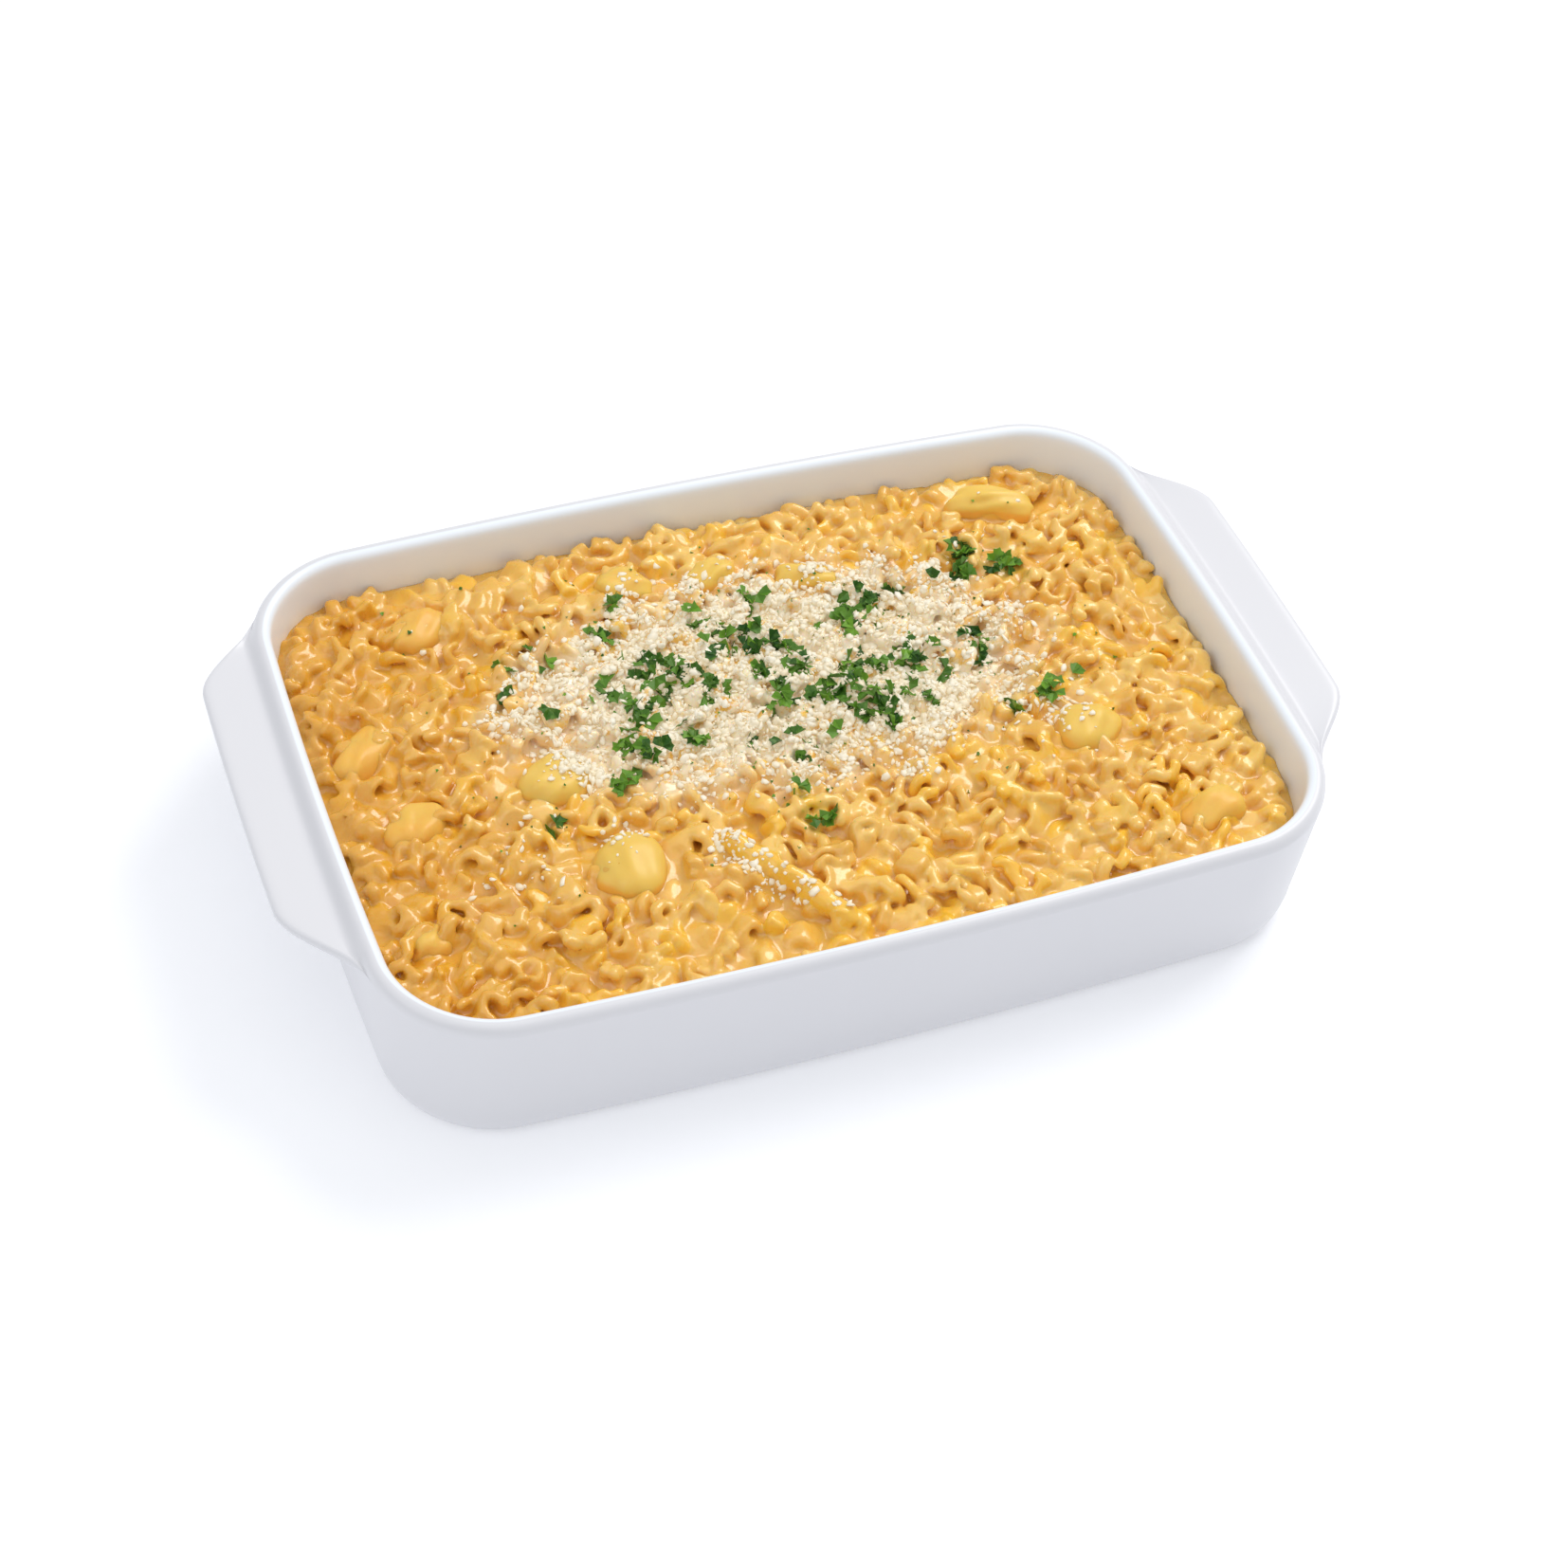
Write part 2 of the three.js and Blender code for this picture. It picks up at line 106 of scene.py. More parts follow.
def fanFaces(first, count, middle, flip):
    faces = [[first + j, first + (j + 1) % count, middle] for j in range(count)]
    return [face[::-1] for face in faces] if flip else faces


# material tools: each finish below is one short function that uses these

class Finish:
    def __init__(self, name):
        self.material = bpy.data.materials.new(name)
        self.material.use_nodes = True
        self.tree = self.material.node_tree
        self.shader = self.tree.nodes["Principled BSDF"]
        self.place = self.tree.nodes.new("ShaderNodeTexCoord").outputs["Object"]

    def set(self, **values):
        for socket, value in values.items():
            self.shader.inputs[socket.replace("_", " ")].default_value = value
        return self

    def add(self, kind, **values):
        node = self.tree.nodes.new("ShaderNode" + kind)
        for key, value in values.items():
            setattr(node, key, value)
        return node

    def join(self, source, target):
        self.tree.links.new(source, target)

    def noise(self, scale, detail=3, roughness=0.55, distortion=0):
        node = self.add("TexNoise")
        self.join(self.place, node.inputs["Vector"])
        node.inputs["Scale"].default_value = scale
        node.inputs["Detail"].default_value = detail
        node.inputs["Roughness"].default_value = roughness
        node.inputs["Distortion"].default_value = distortion
        return node.outputs["Fac"]

    def attribute(self, label):
        return self.add("Attribute", attribute_name=label).outputs["Fac"]

    def spread(self, value, low, high, outLow=0, outHigh=1):
        node = self.add("MapRange", interpolation_type="SMOOTHSTEP")
        self.join(value, node.inputs["Value"])
        for socket, number in zip(("From Min", "From Max", "To Min", "To Max"), (low, high, outLow, outHigh)):
            node.inputs[socket].default_value = number
        return node.outputs["Result"]

    def maths(self, operation, a, b):
        node = self.add("Math", operation=operation)
        for socket, value in zip(node.inputs, (a, b)):
            if isinstance(value, (int, float)):
                socket.default_value = value
            else:
                self.join(value, socket)
        return node.outputs["Value"]

    def mix(self, factor, a, b):
        node = self.add("Mix", data_type="RGBA")
        if isinstance(factor, (int, float)):
            node.inputs["Factor"].default_value = factor
        else:
            self.join(factor, node.inputs["Factor"])
        for socket, value in ((node.inputs[6], a), (node.inputs[7], b)):
            if isinstance(value, tuple):
                socket.default_value = (*value, 1)
            else:
                self.join(value, socket)
        return node.outputs[2]

    def colour(self, source):
        self.join(source, self.shader.inputs["Base Color"])

    def rough(self, source):
        self.join(source, self.shader.inputs["Roughness"])

    def bump(self, height, distance, strength=1.0):
        node = self.add("Bump")
        node.inputs["Distance"].default_value = distance * mm
        node.inputs["Strength"].default_value = strength
        self.join(height, node.inputs["Height"])
        previous = self.shader.inputs["Normal"].links
        if previous:
            self.join(previous[0].from_socket, node.inputs["Normal"])
        self.join(node.outputs["Normal"], self.shader.inputs["Normal"])


# camera, at the photograph's angle

viewpoint = {
    "target": (6.755, 9.535, 0),
    "azimuth": -25.165,
    "elevation": 47.169,
    "roll": 6.401,
    "distance": 938.135,
    "lens": 67.45,  # on a 36 mm sensor
}


def makeCamera():
    turn, rise = math.radians(viewpoint["azimuth"]), math.radians(viewpoint["elevation"])
    back = Vector((math.sin(turn) * math.cos(rise), -math.cos(turn) * math.cos(rise), math.sin(rise)))
    target = Vector(viewpoint["target"]) * mm
    data = bpy.data.cameras.new("camera")
    data.sensor_width = 36
    data.lens = viewpoint["lens"]
    data.clip_start = 0.05
    camera = bpy.data.objects.new("camera", data)
    place = Matrix.Translation(target + back * viewpoint["distance"] * mm)
    look = (-back).to_track_quat("-Z", "Y").to_matrix().to_4x4()
    camera.matrix_world = place @ look @ Matrix.Rotation(math.radians(viewpoint["roll"]), 4, "Z")
    bpy.context.collection.objects.link(camera)
    bpy.context.scene.camera = camera


makeCamera()
print("camera set")


# soft studio light over a white floor

studio = {
    "world": (0.95, 0.97, 1.0),
    "worldStrength": 0.6,
    "lamps": {  # place and target in metres, size, watts, colour
        "right softbox": ((1.0, 0.55, 1.35), (0, 0, 0.03), (0.9, 0.9), 13, (1, 0.985, 0.96)),
        "left fill": ((-1.0, -0.25, 1.0), (0, 0, 0.03), (0.9, 0.9), 2.6, (0.97, 0.98, 1)),
        "overhead": ((0.1, -0.02, 1.3), (0, 0, 0), (1.2, 1.2), 3.0, (1, 1, 1)),
    },
    "floorSize": 8,
}


def makeStudio():
    world = bpy.data.worlds.new("studio")
    world.use_nodes = True
    background = world.node_tree.nodes["Background"]
    background.inputs["Color"].default_value = (*studio["world"], 1)
    background.inputs["Strength"].default_value = studio["worldStrength"]
    bpy.context.scene.world = world
    bpy.context.scene.view_settings.view_transform = "Standard"
    for name, (place, target, size, watts, colour) in studio["lamps"].items():
        data = bpy.data.lights.new(name, "AREA")
        data.shape = "RECTANGLE"
        data.size, data.size_y = size
        data.energy = watts
        data.color = colour
        lamp = bpy.data.objects.new(name, data)
        lamp.location = place
        lamp.rotation_euler = (Vector(target) - Vector(place)).to_track_quat("-Z", "Y").to_euler()
        bpy.context.collection.objects.link(lamp)
    half = studio["floorSize"] / 2
    finish = Finish("white floor").set(Roughness=0.9, Specular_IOR_Level=0.1)
    finish.set(Base_Color=(0.84, 0.85, 0.88, 1), Emission_Color=(1, 1, 1, 1), Emission_Strength=0.24)
    corners = [(-half, -half, 0), (half, -half, 0), (half, half, 0), (-half, half, 0)]
    floor = meshPiece("floor", np.array(corners) / mm, [(0, 1, 2, 3)], finish.material)


makeStudio()
print("studio lit")


# the baking dish: a bowed rounded rectangle with a wing handle on each end

dishLow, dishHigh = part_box("dish")
dish = {
    "length": 300,
    "width": (dishHigh[1] - dishLow[1]) / mm,
    "height": dishHigh[2] / mm,
    "wall": 6,
    "corner": 35,
    "bow": 4,  # the corners lie this much inside the middle of each side
    "lean": 3,  # the foot of the wall lies this much inside the rim
    "heelHeight": 12,
    "heelInset": 4,
    "floor": 6,
    "fillet": 14,
    "cornerSteps": 22,
    "longSteps": 30,
    "shortSteps": 60,
    "arcRows": 9,
    "wallRows": 12,
    "wingRows": 18,
    "flatRings": (0.3, 0.7, 0.94),  # rings of the foot and of the floor, in shares of their outline
}
handle = {
    "reach": dishHigh[0] / mm - dish["length"] / 2,
    "flat": 43.5,  # half of the straight outer edge
    "root": 75,
    "middle": {"left": 6, "right": 1.5},  # both sit a little off the middle of their side
    "drop": 3.6,  # top face below the rim, at the root
    "tipDrop": 1.3,
    "edge": 3.6,
    "gusset": 13,
    "thin": 3,  # how deep the wing is where its underside runs out along the wall
    "crease": 2.4,  # the top runs into the rim over this width
}


def rimOutline(inset):
    a, b = dish["length"] / 2 - inset, dish["width"] / 2 - inset
    r = max(dish["corner"] - inset, 8)
    points = []
    for quarter, (sx, sy) in enumerate(((1, 1), (-1, 1), (-1, -1), (1, -1))):
        arc = quarter * math.pi / 2 + np.linspace(0, math.pi / 2, dish["cornerSteps"] + 1)
        points.append(np.c_[sx * (a - r) + r * np.cos(arc), sy * (b - r) + r * np.sin(arc)])
        along = quarter % 2 == 0
        steps = dish["longSteps"] if along else dish["shortSteps"]
        t = 1 - 2 * np.arange(1, steps) / steps
        side = np.c_[sx * t * (a - r), np.full(t.shape, sy * b)] if along else \
            np.c_[np.full(t.shape, sx * a), sy * t * (b - r)]
        points.append(side)
    x, y = np.concatenate(points).T
    bow = dish["bow"]
    return np.c_[x - bow * (b / a) * (y / b) ** 2 * (x / a), y - bow * (x / a) ** 2 * (y / b)]


def wallInset(z):
    return dish["lean"] * np.maximum(1 - z / (dish["height"] - dish["wall"] / 2), 0)


def makeDish():
    height, bead = dish["height"], dish["wall"] / 2
    arcRows, wallRows, wingRows = dish["arcRows"], dish["wallRows"], dish["wingRows"]
    outline = rimOutline(0)
    count = len(outline)
    side = np.sign(outline[:, 0])
    middleY = np.where(side < 0, handle["middle"]["left"], handle["middle"]["right"])
    along = np.abs(outline[:, 1] - middleY)
    beyondFlat = (along - handle["flat"]) / (handle["root"] - handle["flat"])
    share = (1 + np.cos(math.pi * np.clip(beyondFlat, 0, 1))) / 2
    reach = handle["reach"] * share
    radius = np.minimum(handle["edge"] / 2, reach / 2)
    winged = smoothStep(0.02, 0.3, share)
    crease = handle["crease"] * winged
    tip = height - handle["drop"] + (handle["drop"] - handle["tipDrop"]) * share
    gusset = height - handle["drop"] - handle["thin"] - (handle["gusset"] - handle["thin"]) * np.sqrt(share)
    inward = (rimOutline(10) - outline) / 10
    rows = []

    def row(z, inset=None, out=0.0):
        z = np.broadcast_to(z, (count,)).astype(float)
        if inset is None:
            inset = wallInset(z)
        inset = np.broadcast_to(inset, (count,))
        xy = outline + inward * inset[:, None]
        rows.append(np.c_[xy[:, 0] + side * out, xy[:, 1], z])

    heelDepth = dish["heelInset"] + wallInset(0) - wallInset(dish["heelHeight"])
    for angle in np.linspace(0, math.pi / 2, arcRows):
        row(dish["heelHeight"] * (1 - math.cos(angle)),
            wallInset(dish["heelHeight"]) + heelDepth * (1 - math.sin(angle)))
    for t in np.linspace(0, 1, wallRows)[1:]:
        row(dish["heelHeight"] + (gusset - dish["heelHeight"]) * t)
    firstSoftRow = len(rows) - 4
    for t in np.linspace(0, 1, wingRows)[1:]:  # under the wing
        row(gusset + (tip - 2 * radius - gusset) * (1 - (1 - t) ** 2.2), out=(reach - radius) * t)
    for angle in np.linspace(-math.pi / 2, math.pi / 2, arcRows)[1:]:  # its outer edge
        row(tip - radius + radius * math.sin(angle), out=reach - radius + radius * math.cos(angle))
    for t in np.linspace(1, 0, wingRows)[1:]:  # and its top
        z = height - handle["drop"] + (tip - height + handle["drop"]) * t
        row(z, out=crease + (reach - radius - crease) * t)
    for angle in np.linspace(0, math.pi / 2, wallRows)[1:]:  # the rim, its outer shoulder or crease soft
        t = angle * 2 / math.pi
        shoulder = height - handle["drop"] * (1 - math.sin(angle))
        soft = height - handle["drop"] * (1 + math.cos(math.pi * t)) / 2
        inset = bead * (1 - math.cos(angle)) * (1 - winged) + ((bead + crease) * t - crease) * winged
        row(shoulder + (soft - shoulder) * winged, np.maximum(inset, 0), np.maximum(-inset, 0))
    firstInnerRow = len(rows)
    for angle in np.linspace(math.pi / 2, math.pi, arcRows)[1:]:
        row(height - bead + bead * math.sin(angle), bead * (1 - math.cos(angle)))
    lastSoftRow = len(rows) + 1
    middleZ = dish["floor"] + dish["fillet"]
    for z in np.linspace(height - bead, middleZ, wallRows)[1:]:
        row(z, dish["wall"] + wallInset(z))
    middleInset = dish["wall"] + wallInset(middleZ) + dish["fillet"]
    for angle in np.linspace(0, math.pi / 2, arcRows)[1:]:
        row(middleZ - dish["fillet"] * math.sin(angle), middleInset - dish["fillet"] * math.cos(angle))
    grid = np.array(rows)
    for _ in range(4):  # the glaze rounds the crease beside the rim
        part = grid[firstSoftRow:lastSoftRow]
        grid[firstSoftRow + 1:lastSoftRow - 1] = (part[:-2] + 2 * part[1:-1] + part[2:]) / 4
    under = [grid[0] * (s, s, 1) for s in dish["flatRings"]]
    inside = [grid[-1] * (s, s, 1) for s in dish["flatRings"][::-1]]
    grid = np.concatenate([under, grid, inside])
    points = grid.reshape(-1, 3)
    faces = ringFaces(len(grid), count)
    middle = len(points)
    points = np.concatenate([points, [[0, 0, 0], [0, 0, dish["floor"]]]])
    faces += fanFaces(0, count, middle, True) + fanFaces(middle - count, count, middle + 1, False)
    # marks the inner face, which the glaze paints lighter: painted light on the inner walls
    inner = np.zeros(len(points))
    inner[(len(under) + firstInnerRow) * count:] = 1
    piece = meshPiece("glazedDish", points, faces, whiteGlaze(), {"inner": inner})
    weld(piece, 0.04)
    standFor(piece, "dish")


def whiteGlaze():
    finish = Finish("white glaze").set(Roughness=0.3, Coat_Weight=0.1, Coat_Roughness=0.25, IOR=1.5)
    outer = finish.mix(finish.noise(14, 2), (0.735, 0.735, 0.765), (0.76, 0.757, 0.785))
    # painted light: the inner face is painted lighter and bluer than the outer glaze
    finish.colour(finish.mix(finish.attribute("inner"), outer, (0.88, 0.93, 0.99)))
    finish.rough(finish.spread(finish.noise(9, 1), 0.3, 0.7, 0.285, 0.33))
    finish.bump(finish.noise(22, 1), 0.5, 0.15)
    return finish.material


makeDish()
print("dish made")


# potatoes: place, three diameters, turn, rise above the sauce and how square each chunk is cut

potatoChunks = {
    "potato_1": ((-75, -4), (25, 22, 18), 0.3, 7.0, 2.1),
    "potato_2": ((-65, -43), (26, 25, 20), 0.9, 7.2, 2.1),
    "potato_3": ((90, -28), (24, 21, 18), 0.5, 6.6, 2.2),
    "potato_4": ((114, -69), (22, 17, 15), 0.2, 5.2, 2.6),
    "potato_5": ((101, 75), (33, 12, 13), -0.35, 6.6, 3),
    "potato_6": ((-127, -50), (17, 14, 14), 0.4, 4.4, 2.3),
    "potato_7": ((-119, -9), (22, 16, 15), 0.7, 5.8, 2.8),
    "potato_8": ((-96, 70), (24, 18, 16), 0.4, 6.0, 2.4),
    "potato_9": ((-28, 71), (21, 15, 15), -0.5, 6.0, 2.6),
    "potato_10": ((1, 69), (20, 15, 15), 0.2, 5.8, 2.8),
    "potato_11": ((29, 58), (26, 13, 14), -0.2, 5.0, 2.8),
    "potato_12": ((-126, 25), (29, 13, 15), 0.85, 5.6, 3),
}
chunkCut = {
    "facets": 9,
    "facetReach": (0.98, 1.2),  # how far out the knife's random planes lie
    "roundBelow": 2.25,  # chunks less square than this are worn round
    "round": {"edge": 3.4, "size": 0.98},
    "square": {"edge": 1.6, "size": 1.05},
    "softBelow": 4,  # edges less sharp than this are boiled soft
    "rounding": {"soft": 0.65, "crisp": 0.2},
}
sauceLevel = {"edge": 36, "crown": 40.5, "swell": 0.7}


def sauceHeight(x, y):
    u = np.maximum(np.abs(x) / (dish["length"] / 2), np.abs(y) / (dish["width"] / 2))
    dome = sauceLevel["edge"] + (sauceLevel["crown"] - sauceLevel["edge"]) * (1 - u ** 3)
    swell = np.sin(x / 19 + 0.6) * np.cos(y / 15 - 0.4) + 0.6 * np.sin((x + y) / 11)
    return dome + sauceLevel["swell"] * swell * (1 - u ** 4)


def chunkCentre(chunk):
    (x, y), size, _, rise, _ = chunk
    return np.array([x, y, float(sauceHeight(x, y)) + rise - size[2] / 2])


def chunkCuts(node, chunk):  # the knife's planes round a chunk, and how sharp its edges stay
    rng = np.random.default_rng(sum(map(ord, node)))
    isRound, facets = chunk[4] < chunkCut["roundBelow"], chunkCut["facets"]
    kind = chunkCut["round" if isRound else "square"]
    planes = rng.normal(0, 1, (facets, 3))
    planes /= np.linalg.norm(planes, axis=1)[:, None] * rng.uniform(*chunkCut["facetReach"], (facets, 1))
    box = np.array([(1, 0, 0), (0, 1, 0), (0, 0, 1)]) + rng.normal(0, 0.08, (3, 3))
    planes = np.concatenate([planes, box, -box])
    edge = kind["edge"] * (1 if isRound else chunk[4])
    around = rng.normal(0, 1, (200, 3))
    around /= np.linalg.norm(around, axis=1)[:, None]
    share = (1 / chunkNorm(*around.T, (planes, edge))).mean()
    return planes * share / kind["size"], edge


def chunkNorm(u, v, w, cuts):  # 1 on the chunk's skin, in shares of its half sizes
    planes, edge = cuts
    total = 0
    for a, b, c in planes:
        total = total + np.maximum(a * u + b * v + c * w, 0) ** edge
    cut = total ** (1 / edge)
    rounding = chunkCut["rounding"]["soft" if edge < chunkCut["softBelow"] else "crisp"]
    return cut + rounding * (np.sqrt(u * u + v * v + w * w) - cut)


def chunkField(node, chunk, x, y, z):  # roughly the distance to the chunk's skin
    _, size, turn, _, _ = chunk
    cx, cy, cz = chunkCentre(chunk)
    u, v = turned(x - cx, y - cy, -turn)
    norm = chunkNorm(u / size[0] * 2, v / size[1] * 2, (z - cz) / size[2] * 2, chunkCuts(node, chunk))
    return (norm - 1) * min(size) / 2


# where the grated cheese lies

cheese = {
    "middle": (3, 19),
    "half": (98, 53),
    "crumbs": 9900,
    "size": (0.42, 1.45),
    "stacked": 0.9,  # how high they lie on each other where they lie thickest
    "drifts": [((-67, -1), 3.5, 130), ((-63, -33), 4, 35), ((-95, -38), 6, 25), ((82, -20), 5, 70),
               ((-34, -45), 3.5, 60), ((-30, -54), 2.8, 34), ((-26, -61), 2.4, 26), ((-19, -67), 2, 16),
               ((-11, -74), 2, 12)],  # small drifts beside the potatoes and along the ribbed strip
    "clumps": 170,
    "clumpRadius": 6,
    "clumped": 0.45,  # share of the crumbs that lie in clumps
    "flat": ((1, 1.7), (0.8, 1.25), (0.35, 0.6)),  # length, width and thickness of a flake
    "ragged": (0.55, 1.2),
    "clearWall": 8,
    "tilt": 0.35,
    "seed": 21,
}


def overZone(rng, across, along):  # a random place over the zone, in shares of its half sizes
    return tuple(between(rng, *span) * half + middle
                 for span, half, middle in zip((across, along), cheese["half"], cheese["middle"]))


def cheeseThickness(x, y):  # 0 outside the zone, 1 in the middle
    (cx, cy), (halfX, halfY) = cheese["middle"], cheese["half"]
    reach = np.hypot((x - cx) / halfX, (y - cy) / halfY)
    reach = reach + 0.07 * np.sin(x / 7 + 1) * np.cos(y / 6) + 0.05 * np.sin((x - y) / 3.5)  # a ragged edge
    return 1 - smoothStep(0.55, 1.05, reach)


# the filling: curled ribbons and corkscrews of pasta in a thick sauce, as one skin over a field of distances

filling = {
    "voxel": 0.62,
    "bottom": 33,
    "top": 48.5,
    "spacing": 5.9,  # between the middles of the curls
    "stand": (1.8, 6.0),  # how far a curl's top stands above the sauce
    "highest": 47.4,
    "thickness": 2.4,
    "coat": 0.4,
    "fromGlaze": 0.7,  # clear space between a piece and the wall
    "skinFromGlaze": 0.12,  # and between the sauce and the wall
    "fromChunk": 0.4,
    "besideChunk": 2.6,  # pieces beside an open potato lie this much lower
    "largeHalf": 1.5,  # half thickness of the large curls
    "largeTint": 0.78,
    "largeSeed": 77,
    "frill": 0.28,  # how much the edges of a curl swell into beads
    "wander": 0.6,  # every piece is bent out of its even shape by about this much
    "sauceDrop": 1.7,  # between the pieces the sauce lies lower than the heap's mean height
    "sauceInPits": 1.0,  # less sauce gathers in the pits the larger this is
    "fuse": 0.7,  # pieces that touch run together over this width
    "blend": 2.0,
    "pools": ((30, 0.7, 0, 8), (12, 0.35, 0, 9), (5.5, 0.35, 1, 10)),  # its waves: size, height, depth, seed
    "collar": (1.0, 1.6),  # its skin lies this deep in a potato, and runs up to it over this width
    "creep": 0.5,  # how far the sauce creeps up the wall
    "triangles": 195000,
    "core": ((20, 1.8), (11, 5), (7.3, 12), (6.4, 17)),  # the plain core's rings: height, how far in
    "throws": 16000,
    "wallThrows": 5000,  # the first throws line the wall
    "fromWall": (2.8, 4.5),
    "seed": 5,
}
ribbonEdge = {  # a ribbon is a thin sheet between two thick wavy edges
    "swing": 0.85,
    "wave": (3.2, 4.0),
    "half": (1.15, 1.4),
    "sheet": 0.5,
    "web": 0.8,
}
curlShares = {"tube": 0.06, "hook": 0.12, "ruffle": 0.06, "corkscrew": 0.32, "ribbon": 0.44}
curlForms = {  # a pair gives the least and the most
    "tube": {"radius": (3.0, 3.8), "squash": (0.7, 1)},
    "hook": {"sweep": (3.6, 5.4), "radius": (2.6, 3.8)},
    "ruffle": {"reach": (4.5, 8), "swing": (1.2, 1.9), "wave": (5, 6.5), "bow": (-0.06, 0.06)},
    "corkscrew": {"sweep": (4.2, 12), "bend": (2.0, 2.8), "climb": (4.4, 5.6), "stout": 1.2},
    "ribbon": {"radius": (2.6, 4.8), "width": (1.4, 2.4), "length": (8, 13), "most": 4.6},
    "width": (2.6, 4.2),
    "lobes": (5, 9),
}


def fieldGrid():
    step = filling["voxel"]
    halfX, halfY = dish["length"] / 2 - 3, dish["width"] / 2 - 3
    x = np.arange(-halfX, halfX, step)
    y = np.arange(-halfY, halfY, step)
    z = np.arange(filling["bottom"] - 2 * step, filling["top"], step)
    return [axis.astype(np.float32) for axis in (x, y, z)]


def wallDistance(x, y, z):  # negative inside the dish's inner wall
    a, b = dish["length"] / 2, dish["width"] / 2
    flatX = x + dish["bow"] * (b / a) * (y / b) ** 2 * (x / a)
    flatY = y + dish["bow"] * (x / a) ** 2 * (y / b)
    inset = dish["wall"] + wallInset(z)
    r = dish["corner"] - inset
    qx, qy = np.abs(flatX) - (a - inset - r), np.abs(flatY) - (b - inset - r)
    return np.hypot(np.maximum(qx, 0), np.maximum(qy, 0)) + np.minimum(np.maximum(qx, qy), 0) - r


def curlPlaces(rng):  # evenly thrown places inside the wall
    places = np.zeros((0, 2))
    half = np.array([dish["length"] / 2 - dish["wall"], dish["width"] / 2 - dish["wall"]])
    nearest, farthest = filling["fromWall"]
    for throw in range(filling["throws"]):
        place = rng.uniform(-half, half)
        toWall = -wallDistance(*place, 40)
        if toWall < nearest or (throw < filling["wallThrows"] and toWall > farthest):
            continue
        if len(places) and ((places - place) ** 2).sum(1).min() < filling["spacing"] ** 2:
            continue
        places = np.concatenate([places, [place]])
    return places


def curlOutline(kind, rng):  # the curve that a piece of pasta follows, across its width
    form = curlForms[kind]
    if kind == "tube":
        angle = np.linspace(0, 2 * math.pi, 15)
        radius = between(rng, *form["radius"])
        return np.c_[radius * np.cos(angle), radius * between(rng, *form["squash"]) * np.sin(angle)]
    if kind == "hook":
        angle = np.linspace(0, between(rng, *form["sweep"]), 13)
        radius = between(rng, *form["radius"]) * (1 + 0.12 * angle / math.pi)
        return np.c_[radius * np.cos(angle), radius * np.sin(angle)]
    along = np.linspace(-1, 1, 21) * between(rng, *form["reach"])
    swing = between(rng, *form["swing"])
    wave = swing * np.sin(along * 2 * math.pi / between(rng, *form["wave"]) + rng.random() * anyTurn)
    return np.c_[along, wave + between(rng, *form["bow"]) * along ** 2]


def corkscrewPath(rng):
    form = curlForms["corkscrew"]
    sweep, bend = between(rng, *form["sweep"]), between(rng, *form["bend"])
    angle = np.linspace(-sweep / 2, sweep / 2, int(sweep * 2.6))
    climb = between(rng, *form["climb"])
    return np.c_[bend * np.cos(angle), bend * np.sin(angle), climb * angle / (2 * math.pi)]


def blockAround(axes, low, high, pad):
    step = filling["voxel"]
    block = []
    for axis, bottom, top in zip(axes, low - pad, high + pad):
        first = max(0, int((bottom - axis[0]) / step))
        last = min(len(axis), int((top - axis[0]) / step) + 2)
        if last <= first:
            return None
        block.append(slice(first, last))
    return tuple(block)


def distanceToPath(query, path):  # squared, from points given one coordinate per array
    nearest = None
    for a, b in zip(path[:-1], path[1:]):
        ab = b - a
        offset = [q - start for q, start in zip(query, a)]
        t = np.clip(sum(o * d for o, d in zip(offset, ab)) / float(ab @ ab), 0, 1)
        squared = sum((o - t * d) ** 2 for o, d in zip(offset, ab))
        nearest = squared if nearest is None else np.minimum(nearest, squared)
    return nearest


largeCurls = {  # place, outline radius, its sweep, half width, lean, turn, rise above the sauce
    "left ruffle": ((-120, 45), 6.4, 3.6, 5.5, 1.0, 2.3, 6.4),
    "left flap": ((-121, 28), 8.5, 1.7, 6, 0.6, 1.9, 5.6),
    "back shell": ((-84, 69), 6.4, 3.9, 5.5, 0.9, 2.8, 6.6),
    "golden fold": ((-93, 14), 4.6, 3.6, 4.6, 1.2, 0.5, 6),
    "upright hook": ((-84, -66), 4.0, 4.5, 4, 0.35, 1.1, 6),
    "front knob": ((-112, -61), 3.9, 5.6, 4.6, 0.75, -0.5, 6.2),
    "strip neighbour": ((-48, -60), 5.2, 3.7, 5, 0.9, 0.2, 5.6),
    "front flap": ((2, -69), 8.5, 1.9, 6.5, 0.5, 2.7, 5.6),
    "front hook": ((29, -72), 4.3, 4.8, 4.5, 0.5, 0.4, 5.6),
    "open shell": ((62, -54), 5.8, 4.4, 5.5, 0.75, 0.6, 6.2),
    "right hook": ((84, -64), 4.2, 5.1, 4.4, 0.4, 2.2, 6),
    "wall hook": ((132, -20), 4.5, 5.0, 4.2, 0.6, 0.3, 5.6),
    "right shell": ((117, -9), 5.6, 3.9, 5, 0.95, 1.2, 6.2),
    "corner hook": ((126, 48), 4.6, 4.6, 4.8, 0.8, 2.4, 6),
    "middle hump": ((44, -18), 5.2, 3.4, 5, 1.3, 0.3, 5.8),
    "back hump": ((-60, 82), 5, 3.4, 5, 1.2, -0.3, 5.8),
    "wall knob": ((138, -36), 3.7, 4.9, 3.2, 0.6, 1.3, 5.4),
    "wall curl": ((136, -52), 3.9, 4.5, 3.6, 0.45, 2.7, 5.4),
    "wall fold": ((139, -8), 3.7, 4.4, 3.2, 0.7, 0.4, 5.2),
}
ribbedStrip = {
    "from": (-34, -43),
    "to": (-10, -78),
    "radius": 2.7,
    "rib": 0.34,
    "ribLength": 2.7,
    "rise": 6.6,
}


